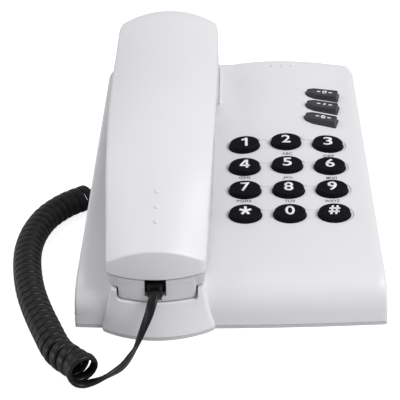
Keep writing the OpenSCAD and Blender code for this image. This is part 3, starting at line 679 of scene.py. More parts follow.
class PHONE_OT_cord(bpy.types.Operator):
    """Flat curly cord from the handset's plug through its coil to the base's plug"""

    bl_idname = "phone.cord"
    bl_label = "Curly cord"

    def execute(self, context):
        settings = context.scene.phone_cord
        places, widths = cord_line(settings)
        section = cord_section(settings.width / MM / 2, settings.thickness / MM / 2)
        rings = []
        for p, t, w in zip(places, unit_rows(np.gradient(places, axis=0)), widths):
            w = w - np.dot(w, t) * t
            w /= np.linalg.norm(w)
            n = np.cross(t, w)
            rings.append([p + a * w + b * n for a, b in section])
        cord = skin("cord", rings)
        dress(cord, "cord", None, ["cord_lead", "cord_coil", "cord_tail"], 50)
        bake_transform(cord)
        return {"FINISHED"}


# ---------------------------------------------------------------- base shell


def round_max(a, b, r):
    """Intersection of two distances with a fillet of radius r."""
    return np.minimum(-r, np.maximum(a, b)) + np.hypot(np.maximum(a + r, 0), np.maximum(b + r, 0))


def front_centre():
    """Y and Z of the front roll's axis."""
    c, s, ct, st = math.cos(FRONT_LEAN), math.sin(FRONT_LEAN), math.cos(TILT), math.sin(TILT)
    k = FRONT_R + st * DECK_Y - ct * DECK_Z
    det = s * st - c * ct
    return (-ct * FRONT_R + s * k) / det, (c * k - st * FRONT_R) / det


ROLL_Y, ROLL_Z = front_centre()


def swelling(x, y):
    """Rise of the deck behind the keypad."""
    along = np.clip((y - 104.0) / (BASE_L - 3 - 104.0), 0, 1.05)
    across = 1 - ((x - PAD_X - 1.5) / (27.5 + 5.0 * along)) ** 2
    return 2.2 * np.clip(across, 0, 1) * along


def base_distance(x, y, z):
    """Distance to the outside of the base block, negative inside."""
    rear = y - BASE_L + BOW * (x / HALF_W) ** 2
    draft = np.where(x < 0, 0.3 * np.clip(z / 25.0, 0, 1), 0.0)
    y = y + (BOW * (1 - (x / HALF_W) ** 2) + 1.1) * np.clip(1 - y / 45.0, 0, 1)
    z = z - swelling(x, y)
    deck = -(y - DECK_Y) * math.sin(TILT) + (z - DECK_Z) * math.cos(TILT)
    front = -y * math.cos(FRONT_LEAN) + z * math.sin(FRONT_LEAN)
    angle = np.degrees(np.arctan2(z - ROLL_Z, y - ROLL_Y))
    roll = (angle > ROLL_TOP) & (angle < ROLL_FOOT)
    top = np.where(roll, np.hypot(y - ROLL_Y, z - ROLL_Z) - FRONT_R, np.maximum(deck, front))
    # 0 at the roll's foot and 1 on the deck: the side edges grow rounder on the way up
    lift = np.where(roll, (np.sin(np.radians(angle)) - 0.148) / 0.829,
                    np.where(deck > front, 1.0, 0.0))
    side = (np.abs(x) - half_width(y) + draft) * math.cos(math.atan(TAPER / BASE_L))
    plan = round_max(side, rear, 8.0)
    edge = 1.2 + (2.2 - 1.6 * smoothstep((rear - side + 6) / 12)) * smoothstep(lift)
    return round_max(top, plan, edge)


def base_rays():
    """Rows of (origin, direction) in the side view, round a skeleton inside the skin."""
    lean, low_y = math.degrees(FRONT_LEAN), CORE + PART_H * math.tan(FRONT_LEAN)
    between = lambda y0, z0, y1, z1, t: (y0 + (y1 - y0) * t, z0 + (z1 - z0) * t)
    way = lambda a: (math.cos(a), math.sin(a))
    y_end = BASE_L - CORE
    z_end = ROLL_Z + (y_end - ROLL_Y) * math.tan(TILT)
    rows = [(between(low_y, PART_H, ROLL_Y, ROLL_Z, t), way(math.radians(180 - lean * t)))
            for t in np.linspace(0, 1, 9)[:-1]]
    rows += [((ROLL_Y, ROLL_Z), way(a)) for a in np.radians(np.linspace(180 - lean, ROLL_TOP, 22))]
    rows += [(between(ROLL_Y, ROLL_Z, y_end, z_end, t), (-math.sin(TILT), math.cos(TILT)))
             for t in np.linspace(0, 1, 64)[1:]]
    rows += [((y_end, z_end), way(a)) for a in np.radians(np.linspace(ROLL_TOP, 0, 22)[1:])]
    return rows + [((y_end, z), (1.0, 0.0)) for z in (30.0, 15.0, PART_H)]


def base_skin(level):
    """Grid of points where the distance has a level, row by row from side to side."""
    rows = base_rays()
    bends = np.radians(np.linspace(90, 0, 16))
    origins, ways = [], []
    for (y, z), (dy, dz) in rows:
        reach = half_width(y) - CORE
        walls = [(PART_H + (z - PART_H) * t) for t in np.linspace(0, 1, 7)[:-1]]
        line = [(-reach, low, -1.0, 0.0) for low in walls]
        line += [(-reach, z, -math.sin(a), math.cos(a)) for a in bends]
        line += [(x, z, 0.0, 1.0) for x in np.linspace(-reach, reach, 58)[1:-1]]
        line += [(reach, z, math.sin(a), math.cos(a)) for a in bends[::-1]]
        line += [(reach, low, 1.0, 0.0) for low in walls[::-1]]
        for x, low, across, out in line:
            origins.append((x, y, low))
            ways.append((across, dy * out, dz * out))
    o, d = np.array(origins), np.array(ways)
    found = reach_inside(lambda far: base_distance(*(o + d * far[:, None]).T) < level,
                         len(o), 30.0, 34)
    return (o + d * found[:, None]).reshape(len(rows), -1, 3)


def base_block(name, level, foot=None):
    """Closed solid of the base, a level away from its skin, standing at the foot's height."""
    grid = base_skin(level)
    n, m = grid.shape[:2]
    points = [tuple(p) for p in grid.reshape(-1, 3)]
    faces = [(j * m + i, j * m + i + 1, j * m + m + i + 1, j * m + m + i)
             for j in range(n - 1) for i in range(m - 1)]
    loop = list(range(m)) + [j * m + m - 1 for j in range(1, n)]
    loop += [(n - 1) * m + i for i in range(m - 2, -1, -1)] + [j * m for j in range(n - 2, 0, -1)]
    if foot is not None:
        first, count = len(points), len(loop)
        points += [(points[k][0], points[k][1], foot) for k in loop]
        for i in range(count):
            k = (i + 1) % count
            faces.append((loop[i], loop[k], first + k, first + i))
        loop = list(range(first, first + count))
    faces.append(tuple(loop))
    return piece_from(name, points, faces)


def foot_outline(inset):
    """Plan outline of the base at its foot, found along rays from its middle."""
    mid_y = 96.0
    rays = list(np.linspace(-math.pi, math.pi, 361)[:-1])
    for x, y in ((79.5, 0.5), (-79.5, 0.5), (74, 188), (-74, 188)):
        corner = math.atan2(y - mid_y, x)
        rays += list(np.linspace(corner - 0.05, corner + 0.05, 40))
    rays = np.array(sorted(set(rays)))
    foot = np.full(len(rays), PART_H)
    found = reach_inside(
        lambda far: base_distance(far * np.cos(rays), mid_y + far * np.sin(rays), foot) < -inset,
        len(rays), 140.0, 36)
    return [(m * math.cos(a), mid_y + m * math.sin(a)) for m, a in zip(found, rays)]


def saddle_ring(half, ends, bulge, inset, z, back_y=46.0, corner=2.2):
    """Plan outline with a bulged front and softened front corners."""
    r = (half * half + bulge * bulge) / (2 * bulge)
    a = math.asin((half - inset) / (r - inset))
    cy = ends - bulge + r
    pts = [(HS_X + (r - inset) * math.sin(b), cy - (r - inset) * math.cos(b))
           for b in np.linspace(-a, a, 33)]
    back = [(HS_X + half - inset, back_y - inset), (HS_X - half + inset, back_y - inset)]
    front = [p for p in pts if abs(p[0] - HS_X) < half - inset - corner]

    def bend(p, toward, away):
        ends = np.array([toward, p, away])
        return [tuple(q) for q in soft_corner(*ends, corner, 8)]

    first, last = bend(pts[0], back[1], front[0]), bend(pts[-1], front[-1], back[0])
    return ring_at(first + front + last + back, z)


def saddle_block(name, inset, low):
    """Solid of the saddle, which grows narrower upward and has a soft upper edge."""
    soft = 0.9 if inset == 0 else 0.4
    edge = SADDLE_TOP - inset - soft
    steps = [(low, 0.0)]
    steps += [(PART_H + (edge - PART_H) * t, 0.0) for t in np.linspace(0.15, 1, 8)]
    steps += [(edge + soft * math.sin(a), soft * (1 - math.cos(a)))
              for a in np.radians([22, 45, 68, 90])]
    rings = []
    for z, more in steps:
        t = 1 - min(1.0, max(0.0, (SADDLE_TOP - z) / (SADDLE_TOP - PART_H))) ** 1.4
        form = (foot + (rim - foot) * t for foot, rim in zip(SADDLE_FOOT, SADDLE_RIM))
        rings.append(saddle_ring(*form, inset + more, z))
    return skin(name, rings)


def foot_band(name, inset, heights):
    """Closed band in the plan of the base and its saddle."""
    outline = foot_outline(inset)
    band = skin(name, [ring_at(outline, z) for z in heights])
    add(band, skin("saddle_band", [saddle_ring(*SADDLE_FOOT, inset, z) for z in heights]))
    return band


def seat_drop(x, y):
    """How much lower the handset rests between the saddle's shoulders."""
    return 2.2 * np.clip(1 - (x / 23.5) ** 4, 0, 1) * np.clip(1 - y / 16.0, 0, 1)


def seat():
    """Cutter for the curved seat under the mouthpiece end."""
    across = np.linspace(-24.5, 24.5, 29)
    return skin("seat", [[(HS_X + x, y, SADDLE_TOP - 0.02 - seat_drop(x, y)) for x in across]
                         + [(HS_X + x, y, DECK_Z + 20) for x in across[::-1]]
                         for y in (-15, -8, 0, 4, 8, 12, 16)])


# How far the recess is above the deck, and how much wider it is there
RECESS_PROFILE = ((-0.42, -0.3), (-0.4, -0.1), (-0.3, 0.08), (-0.14, 0.2), (0.06, 0.47), (0.5, 1.0))


def ellipse_span(x, cx, cy, a, b, turn):
    """Lowest and highest Y of a turned ellipse at X, or None outside it."""
    c, s = math.cos(turn), math.sin(turn)
    dx = x - cx
    qa = s * s / (a * a) + c * c / (b * b)
    qb = 2 * dx * c * s * (1 / (a * a) - 1 / (b * b))
    qc = dx * dx * (c * c / (a * a) + s * s / (b * b)) - 1
    disc = qb * qb - 4 * qa * qc
    if disc < 0:
        return None
    root = math.sqrt(disc)
    return cy + (-qb - root) / (2 * qa), cy + (-qb + root) / (2 * qa)


def row_recess(row):
    """Cutter for the shallow recess that joins a row of keys, with a soft rim."""
    cols = [(*key_middle(col, row), math.radians(-col * ROW_TURN[row])) for col in (-1, 0, 1)]
    mid = cols[0][1] + ROW_ARCH[row] / 2
    rings = []
    for w, grow in RECESS_PROFILE:
        a, b, neck = KEY_W / 2 + 1.3 + grow, KEY_L / 2 + 0.6 + grow, 3.2 + grow
        ext = math.hypot(a * math.cos(cols[0][2]), b * math.sin(cols[0][2]))
        xs = PAD_X - COL - ext + (2 * (COL + ext)) * (1 - np.cos(np.linspace(0, math.pi, 121))) / 2
        low, high = [], []
        for x in xs:
            spans = [s for s in (ellipse_span(x, cx, cy, a, b, t) for cx, cy, t in cols) if s]
            if abs(x - PAD_X) < COL:
                spans.append((mid - neck, mid + neck))
            if not spans:
                side, (_, cy, t) = (-1, cols[0]) if x < PAD_X else (1, cols[2])
                tip = cy + (a * a - b * b) * math.sin(t) * math.cos(t) / ext * side
                spans = [(tip, tip)]
            low.append((x, min(s[0] for s in spans)))
            high.append((x, max(s[1] for s in spans)))
        rings.append(ring_at(low + high[-2:0:-1], w))
    return skin(f"recess_{row}", rings, deck_place)


# Name, character, column and row
KEYS = [("key_" + {"*": "star", "#": "hash"}.get(char, char), char, i % 3 - 1, i // 3)
        for i, char in enumerate("123456789*0#")]
# Name, place from the middle column and the top row, turn
FINS = [("key_redial", 23.4, 47.6, 11.0), ("key_flash", 22.7, 35.8, 14.0),
        ("key_mute", 21.2, 23.7, 17.0)]


def key_middle(col, row):
    return PAD_X + col * COL, PAD_V + (1.5 - row) * ROW + (ROW_ARCH[row] if col == 0 else 0.0)


def key_place(col, row):
    return turned_place(*key_middle(col, row), -col * ROW_TURN[row])


def fin_place(du, dv, turn):
    return turned_place(PAD_X + du, 1.5 * ROW + dv, -turn)


def fin_outline(grow=0.0):
    """Outline of a function key: pointed at the left, square at the right."""
    w, l = FIN_W, FIN_L
    arc = [(-w * 0.25 + l * math.cos(a), -l * 0.5 + l * math.sin(a))
           for a in np.radians(np.linspace(135, 90, 9))]
    pts = [(-w / 2, -l * 0.1)] + arc + [(w / 2, l / 2), (w / 2, -l / 2), (-w * 0.2, -l / 2),
                                        (-w * 0.42, -l * 0.32)]
    pts = [np.array(p) for p in pts]
    return (soft_loop(pts, 0.8, 0.45, 5) * (1 + 2 * grow / w, 1 + 2 * grow / l))[::-1]


def cover_hollow():
    """The room inside the top cover, less the pockets' liners and the screw posts."""
    hollow = base_block("hollow", -WALL, PART_H - 3)
    add(hollow, saddle_block("saddle_hollow", WALL, PART_H - 3))
    cut(hollow, soft_box(MIC_LINER, shear=MIC_TILT))
    cut(hollow, soft_box(EAR_LINER, place=deck_place))
    cut(hollow, *[rod((x, y, 0), UP, POST_R, 6.4, 80) for x, y in POSTS])
    return hollow


def cover_openings():
    """Cutters for the keys, the hook, the hanger tab, the windows and the screws."""
    tools = [skin("hole", [oval(KEY_W + 2 * KEY_GAP, KEY_L + 2 * KEY_GAP, w) for w in (-5.0, 6.0)],
                  key_place(col, row)) for _, _, col, row in KEYS]
    tools += [skin("hole", [ring_at(fin_outline(KEY_GAP), w) for w in (-5.0, 9.0)], fin_place(*at))
              for _, *at in FINS]
    tools += [soft_box(HOOK_SLOT, place=deck_place, mid=0), soft_box(TAB_SLOT, place=deck_place)]
    tools += [soft_box(window, 0.5, 2, mid=0) for window in WINDOWS]
    tools += [rod((x, y, 0), UP, POST_BORE, -1, 16, 20) for x, y in POSTS]
    return tools + boss_rods(BOSS_BORE, (-12.0, -4.0), (-33.0, -24.0), 16)


class PHONE_OT_top_cover(bpy.types.Operator):
    """Top cover of the base: deck, saddle, pockets, key openings and jack windows"""

    bl_idname = "phone.top_cover"
    bl_label = "Top cover"

    def execute(self, context):
        cover = base_block("top_cover_shell", 0.0)
        add(cover, saddle_block("saddle", 0.0, PART_H))
        cut(cover, cover_hollow())
        add(cover, *boss_rods(BOSS_R, (-11.0, -1.0), (-32.0, -8.5)),
            soft_box(EAR_RIDGE, 0.35, 3, deck_place))
        cut(cover, soft_box(MIC_POCKET, 1.8, 5, shear=MIC_TILT),
            soft_box(EAR_POCKET, 2.4, 5, deck_place))
        cut(cover, seat())
        for row in range(4):
            cut(cover, row_recess(row))
        cut(cover, *cover_openings())
        tidy(cover, outward=False)
        dress(cover, "shell", "base", ["top_cover"], 28)

        rim = foot_band("bottom_rim", 0.08, (0.35, 2.2))
        cut(rim, foot_band("rim_inner", 1.6, (-1, 4)))
        # the foot rim takes the shell colour darkened as painted shade
        dress(rim, "shell_low", "base", sharp=28)

        y = BASE_L - 6.7
        dot_row("base_dots", "base", 1.2, 0.55, [
            ((x, y, DECK_Z + math.tan(TILT) * (y - DECK_Y) + swelling(x, y)), DECK_UP)
            for x in BASE_DOTS])
        return {"FINISHED"}


def dot_tree():
    """Node tree: flattened balls on the vertices of a mesh, each stood on its own axis."""
    tree = bpy.data.node_groups.new("raised_dots", "GeometryNodeTree")
    for label, way, kind in (("Geometry", "INPUT", "Geometry"), ("Radius", "INPUT", "Float"),
                             ("Rise", "INPUT", "Float"), ("Geometry", "OUTPUT", "Geometry")):
        tree.interface.new_socket(label, in_out=way, socket_type="NodeSocket" + kind)
    nodes = tree.nodes
    entry, leave = nodes.new("NodeGroupInput"), nodes.new("NodeGroupOutput")
    ball = nodes.new("GeometryNodeMeshUVSphere")
    set_inputs(ball, Segments=28, Rings=14, Radius=1.0)
    size = nodes.new("ShaderNodeCombineXYZ")
    axis = nodes.new("GeometryNodeInputNamedAttribute")
    axis.data_type = "FLOAT_VECTOR"
    set_inputs(axis, Name="axis")
    stand = nodes.new("FunctionNodeAlignRotationToVector")
    stand.axis = "Z"
    spread = nodes.new("GeometryNodeInstanceOnPoints")
    real = nodes.new("GeometryNodeRealizeInstances")
    for source, output, target, name in (
            (entry, "Radius", size, "X"), (entry, "Radius", size, "Y"), (entry, "Rise", size, "Z"),
            (axis, "Attribute", stand, "Vector"), (entry, "Geometry", spread, "Points"),
            (ball, "Mesh", spread, "Instance"), (stand, "Rotation", spread, "Rotation"),
            (size, "Vector", spread, "Scale"), (spread, "Instances", real, "Geometry"),
            (real, "Geometry", leave, "Geometry")):
        tree.links.new(source.outputs[output], target.inputs[name])
    return tree


def dot_row(name, body, radius, rise, spots):
    """Raised dots at (point, axis) pairs in base coordinates."""
    mesh = bpy.data.meshes.new(name)
    mesh.from_pydata([from_base(p) for p, _ in spots], [], [])
    axis = mesh.attributes.new("axis", "FLOAT_VECTOR", "POINT")
    for item, (_, way) in zip(axis.data, spots):
        item.vector = Vector(way).normalized()
    obj = link(name, mesh)
    mod = obj.modifiers.new("dots", "NODES")
    mod.node_group = bpy.data.node_groups.get("raised_dots") or dot_tree()
    values = {"Radius": radius * MM, "Rise": rise * MM}
    for item in mod.node_group.interface.items_tree:
        if item.in_out == "INPUT" and item.name in values:
            mod[item.identifier] = values[item.name]
    apply_modifiers(obj)
    dress(obj, "shell", body, sharp=60)


# ------------------------------------------------------------------- handset

# Y, how much narrower the handset is, height of the back's edge and of the underside
STATIONS = np.array([
    (-9, 11.0, -4.9, -13.5), (0, 10.3, 0.4, -13.2), (20, 7.9, 11.5, -9.6), (38, 5.7, 22, -5),
    (46, 4.8, 26.3, -1.2), (54, 4, 29.9, 6.8), (62, 3.5, 33.2, 15.3), (72, 2.7, 36.6, 21.8),
    (84, 1.9, 39.9, 26.3), (98, 1.2, 42.8, 29.3), (112, 0.6, 44.9, 30.3), (124, 0.2, 46.2, 29.1),
    (133, 0, 47.2, 25.3), (140, 0, 47.9, 19.3), (146, 0, 48.5, 15.5), (170, 0, 52.3, 20.5),
    (186, 0, 54.7, 23.9), (191.5, 0, 54.6, 25.1)]) * (1, -1, 1, 1) + (0, 59.9, DECK_Z, DECK_Z)
END_FRONT, END_REAR = (24.7, 3.8), (27.6, 6.0)  # half width and bulge of the handset's ends
LID_MIDDLE, LID_REACH = 93.0, 96.0


def station(y, column):
    """Smooth value between the handset's stations, without overshoot."""
    ys, vs = STATIONS[:, 0], STATIONS[:, column]
    step = np.diff(vs) / np.diff(ys)
    slope = np.zeros(len(ys))
    same = step[:-1] * step[1:] > 0
    slope[1:-1][same] = (2 * step[:-1] * step[1:])[same] / (step[:-1] + step[1:])[same]
    slope[0], slope[-1] = step[0], step[-1]
    y = np.clip(y, ys[0], ys[-1])
    i = np.clip(np.searchsorted(ys, y) - 1, 0, len(ys) - 2)
    h = ys[i + 1] - ys[i]
    t = (y - ys[i]) / h
    a, b = vs[i], vs[i + 1]
    return ((2 * t ** 3 - 3 * t ** 2 + 1) * a + (t ** 3 - 2 * t ** 2 + t) * h * slope[i]
            + (-2 * t ** 3 + 3 * t ** 2) * b + (t ** 3 - t ** 2) * h * slope[i + 1])


def back_z(x, y):
    rise = (7.0 * (1 + np.maximum(0.0, 60.0 - y) / 130.0)
            - 0.8 * np.clip((y - 110.0) / 60.0, 0, 1))
    return station(y, 2) + rise * (1 - (2 * x / station(y, 1)) ** 2)


def under_z(x, y):
    return station(y, 3) - seat_drop(x, y)


def part_z(y):
    """Height of the handset's parting line."""
    return station(y, 2) - 6.6 - 5.4 * y / BASE_L


def handset_outline(inset=0.0, count=220):
    """Plan outline of the handset about its own middle, evenly spaced."""
    (hf, bf), (hr, br) = END_FRONT, END_REAR
    rf = (hf * hf + bf * bf) / (2 * bf)
    rr = (hr * hr + br * br) / (2 * br)
    right = [(x, -bf + rf - math.sqrt(rf * rf - x * x)) for x in np.linspace(0, hf, 14)[:-1]]
    right += [(hf, 0.0)]
    right += [(station(y, 1) / 2, y) for y in np.linspace(6, 176, 30)]
    right += [(hr + 1.5, 181.5)]
    right += [(x, 183 + br - rr + math.sqrt(rr * rr - x * x)) for x in np.linspace(hr, 0, 14)]
    pts = [np.array(p) for p in right + [(-x, y) for x, y in right[-2:0:-1]]]
    soft = soft_loop(pts, 1.2, 0.48, 6, 0.97)
    soft = np.vstack([soft, soft[:1]])
    s = np.concatenate([[0], np.cumsum(np.linalg.norm(np.diff(soft, axis=0), axis=1))])
    even = np.linspace(0, s[-1], count, endpoint=False)
    out = np.stack([np.interp(even, s, soft[:, 0]), np.interp(even, s, soft[:, 1])], 1)
    inset = np.asarray(inset, float)
    if inset.any():
        tan = unit_rows(np.roll(out, -1, 0) - np.roll(out, 1, 0))
        out = out + np.stack([-tan[:, 1], tan[:, 0]], 1) * inset.reshape(-1, 1)
    return out


def lid_rings(inset, rim_z, surface, soft, sign, steps=26):
    """Rings from the rim up the wall, over a rounded edge and on to the middle line.
    The edge is soft along the handset and sharp at its mouthpiece end.
    sign is 1 for the back of the handset and -1 for its underside."""

    def height(x, y, turn, level, edge=0.0):
        deep = sign * (surface(x, y) - rim_z(y)) - inset
        drop = min(edge, max(deep - 0.4, 0.1)) * turn
        return rim_z(y) + sign * max(deep - drop, 0.2 + 0.01 * level)

    sharp = min(soft, 0.7 if sign > 0 else 1.1)
    rim = handset_outline(inset)
    rings = [[(x, y, rim_z(y)) for x, y in rim]]
    near = 1 - smoothstep((rim[:, 1] - 4.0) / 24.0)
    edges = soft + (sharp - soft) * near
    taper = 0.9 * near if sign < 0 and inset == 0 else 0 * near
    for level, a in enumerate(np.radians(np.linspace(0, 90, 7))):
        pts = handset_outline(inset + taper + edges * (1 - math.cos(a)))
        rings.append([(x, y, height(x, y, 1 - math.sin(a), level, e))
                      for (x, y), e in zip(pts, edges)])
    last = handset_outline(inset + taper + edges)
    for k in range(1, steps + 1):
        lam = 1 - k / steps
        shrink = 1 - (1 - lam) * 27.0 / LID_REACH
        inner = [(x * lam, LID_MIDDLE + (y - LID_MIDDLE) * shrink) for x, y in last]
        rings.append([(x, y, height(x, y, 0, 7)) for x, y in inner])
    return rings


def shell_half(name, surface, soft, sign):
    """Closed shell with a real wall, open at its rim."""
    rim_z = lambda y: part_z(y) + sign * HS_PARTING
    outer = lid_rings(0.0, rim_z, surface, soft, sign)
    inner = lid_rings(HS_WALL, rim_z, surface, max(soft - HS_WALL, 0.3), sign)
    return skin(name, [[(SHELL_X + x, y, z) for x, y, z in ring] for ring in outer[::-1] + inner],
                capped=False)


def mic_cup():
    """Mouthpiece cup: its front leans forward to its floor, which climbs toward the back."""
    soft = 0.8
    rings = []
    for rise, more in [(0.0, soft), (0.06, soft * 0.62), (0.24, soft * 0.29), (0.5, soft * 0.08),
                       (soft, 0.0), (3.0, 0.0), (6.0, 0.0), (CUP_LEAN, 0.0)]:
        lean = 1 - rise / CUP_LEAN
        ring = saddle_ring(19.6, -1.7 - 0.6 * lean, 2.2 + 1.6 * lean, more, rise, 44.5, 1.6)
        rings.append([(x, y, CUP_FLOOR + rise + (y + 6.0) * MIC_TILT) for x, y, _ in ring])
    rings.append([(x, y, max(z, CUP_ROOF + 0.3 * (y + 4.0))) for x, y, z in rings[-1]])
    return skin("mic_cup", rings)


def front_openings():
    """Cutters for the screws, the jack and the holes of the two cups."""
    tools = []
    for y in HS_SCREWS:
        seat_z = station(y, 3) + 3
        tools.append(skin("bore", [
            [(HS_X + r * math.cos(a), y + r * math.sin(a), z) for a in turns(32)]
            for r, z in ((HS_HEAD_R, 10.0), (HS_HEAD_R, seat_z), (HS_SCREW_R, seat_z),
                         (HS_SCREW_R, 99.0))]))
    tools.append(soft_box(JACK_ROOM, mid=JACK_X))
    tools += [rod((HS_X + x, 22, 19.5 + MIC_TILT * 28), (0, -MIC_TILT, 1), SLIT_R, -5, 5, 16)
              for x in (-4.0, 0.0, 4.0)]
    tools += [rod(on_deck(HS_X + r * math.cos(a), 81.75 + r * math.sin(a), -7), DECK_UP,
                  SOUND_HOLE_R, -5, 5, 18)
              for r, a in [(0, 0)] + [(6.0, math.radians(60 * k)) for k in range(6)]]
    return tools


class PHONE_OT_handset(bpy.types.Operator):
    """Back and front shells of the handset with their cups, holes and parting line"""

    bl_idname = "phone.handset"
    bl_label = "Handset shells"

    def execute(self, context):
        back = shell_half("handset_back_shell", back_z, 1.3, 1)
        add(back, *[rod((HS_X, y, part_z(y) + 1), UP, HS_BACK_POST_R, 0,
                        station(y, 2) + 6.0 - part_z(y) - 1) for y in HS_SCREWS])
        cut(back, *[rod((HS_X, y, part_z(y)), UP, HS_BORE, -1, 9, 20) for y in HS_SCREWS])
        tidy(back, outward=False)
        dress(back, "shell", "handset", ["handset_back"], 30)
        spots = []
        for y in HS_DOTS:
            slope = (back_z(0.0, y + 1) - back_z(0.0, y - 1)) / 2
            spots.append(((HS_X, y, back_z(0.0, y)), (0, -slope, 1)))
        dot_row("handset_dots", "handset", 1.3, 0.65, spots)

        front = shell_half("handset_front_shell", under_z, 2.4, -1)
        add(front, mic_cup())
        add(front, soft_box(EAR_CUP, 2.0, 5, deck_place))
        add(front, *[rod((HS_X, y, station(y, 3) + 1), UP, HS_FRONT_POST_R, 0,
                         part_z(y) - station(y, 3) - 1) for y in HS_SCREWS])
        cut(front, soft_box(MIC_ROOM, 1.0, 3, shear=MIC_TILT, roof=0.3),
            soft_box(EAR_ROOM, 1.2, 3, deck_place))
        cut(front, soft_box(LATCH_ROOM, mid=JACK_X))
        cut(front, *front_openings())
        tidy(front, outward=False)
        # the front shell takes the shell colour darkened as painted shade
        dress(front, "shell_low", "handset", ["handset_front"], 30)

        rings = [[(SHELL_X + x, y, part_z(y) + rise) for x, y in handset_outline(inset)]
                 for inset, rise in ((2.25, -0.9), (2.25, 0.9), (2.9, 0.9), (2.9, -0.9),
                                     (2.25, -0.9))]
        lip = skin("handset_lip", rings, capped=False)
        tidy(lip)
        # the lip in the parting gap takes the shell colour darkened as painted shade
        dress(lip, "shell_low", "handset", sharp=30)
        return {"FINISHED"}


# ---------------------------------------------------------------------- keys


def glyph(name, text, width, height, place, bold, rise, thick):
    """Solid print of a text, fitted to a width and height in millimetres about its middle."""
    curve = bpy.data.curves.new(name, "FONT")
    curve.body = text
    curve.size = 1.0
    curve.offset = bold
    curve.resolution_u = 4
    curve.align_x = "CENTER"
    maker = link(name + "_text", curve)
    mesh = made_mesh(maker)
    bpy.data.objects.remove(maker)
    bpy.data.curves.remove(curve)
    co = np.array([v.co[:2] for v in mesh.vertices])
    low, high = co.min(0), co.max(0)
    mid, span = (low + high) / 2, high - low
    scale = (width / span[0], height / span[1])
    bm = bmesh.new()
    bm.from_mesh(mesh)
    bmesh.ops.remove_doubles(bm, verts=bm.verts, dist=1e-5)
    for v in bm.verts:
        v.co = Vector(((v.co.x - mid[0]) * scale[0], (v.co.y - mid[1]) * scale[1],
                       rise - INK_SINK))
    if sum(f.normal.z for f in bm.faces) < 0:
        bmesh.ops.reverse_faces(bm, faces=bm.faces)
    made = bmesh.ops.extrude_face_region(bm, geom=bm.faces[:])
    for v in [g for g in made["geom"] if isinstance(g, bmesh.types.BMVert)]:
        v.co.z += thick
    return print_from(name, bm, mesh, place)


def print_from(name, bm, mesh, place):
    """Piece from a print drawn in millimetres on a flat face."""
    for v in bm.verts:
        v.co = place(v.co)
    bmesh.ops.recalc_face_normals(bm, faces=bm.faces)
    bm.to_mesh(mesh)
    bm.free()
    mesh.name = name
    return link(name, mesh)


def flat_mark(name, outlines, place, rise):
    """Solid print from flat outlines in millimetres."""
    bm = bmesh.new()
    for outline in outlines:
        low = [bm.verts.new((x, y, rise - INK_SINK)) for x, y in outline]
        high = [bm.verts.new((x, y, rise - INK_SINK + INK)) for x, y in outline]
        bm.faces.new(low[::-1])
        bm.faces.new(high)
        for i in range(len(outline)):
            k = (i + 1) % len(outline)
            bm.faces.new((low[i], low[k], high[k], high[i]))
    bm.normal_update()
    bmesh.ops.triangulate(bm, faces=[f for f in bm.faces if len(f.verts) > 4])
    return print_from(name, bm, bpy.data.meshes.new(name), place)


FOUR = [[(0.5, -3.45), (1.9, -3.45), (1.9, 3.45), (0.5, 3.45)],
        [(-2.8, -2.0), (2.8, -2.0), (2.8, -0.8), (-2.8, -0.8)],
        [(-2.8, -0.85), (-1.4, -0.85), (1.0, 2.3), (1.0, 3.45), (0.2, 3.45)]]
HASH = [[(x - 1.25, -3.4), (x - 0.05, -3.4), (x + 1.25, 3.4), (x + 0.05, 3.4)]
        for x in (-1.3, 1.3)]
HASH += [[(x - 3.0, y - 0.58), (x + 2.9, y - 0.58), (x + 3.0, y + 0.58), (x - 2.9, y + 0.58)]
         for x, y in ((0.25, 1.25), (-0.25, -1.25))]
STAR = [polar(r, math.radians(90 + 72 * k + a)) for k in range(5)
        for r, a in ((3.42, -12.6), (3.42, 12.6), (1.26, 36))]
ONE = [(0.3, -3.6), (1.8, -3.6), (1.8, 3.6), (0.55, 3.6), (-0.4, 2.75), (-1.7, 2.35),
       (-1.7, 1.15), (0.3, 1.75)]
DRAWN = {"*": [STAR], "1": [ONE], "4": FOUR, "#": HASH}
# Text and its middle, along and up the deck
LETTERS = [("ABC", 32.4, 23.7), ("DEF", 56.0, 21.1), ("GHI", 7.8, 3.1), ("JKL", 32.2, 2.8),
           ("MNO", 56.5, 2.2), ("PQRS", 7.4, -16.4), ("TUV", 32.5, -16.6), ("WXYZ", 55.6, -16.9)]
# How much narrower a number key is at each height, from its flange to its top
KEY_PROFILE = ((0.0, FLANGE_TOP), (0.0, 0.1), (0.2, 0.3), (0.55, 0.5), (0.75, 0.8), (0.85, 1.4),
               (0.95, 1.95), (1.05, 2.18), (1.25, 2.32), (1.65, 2.39), (2.4, KEY_H))


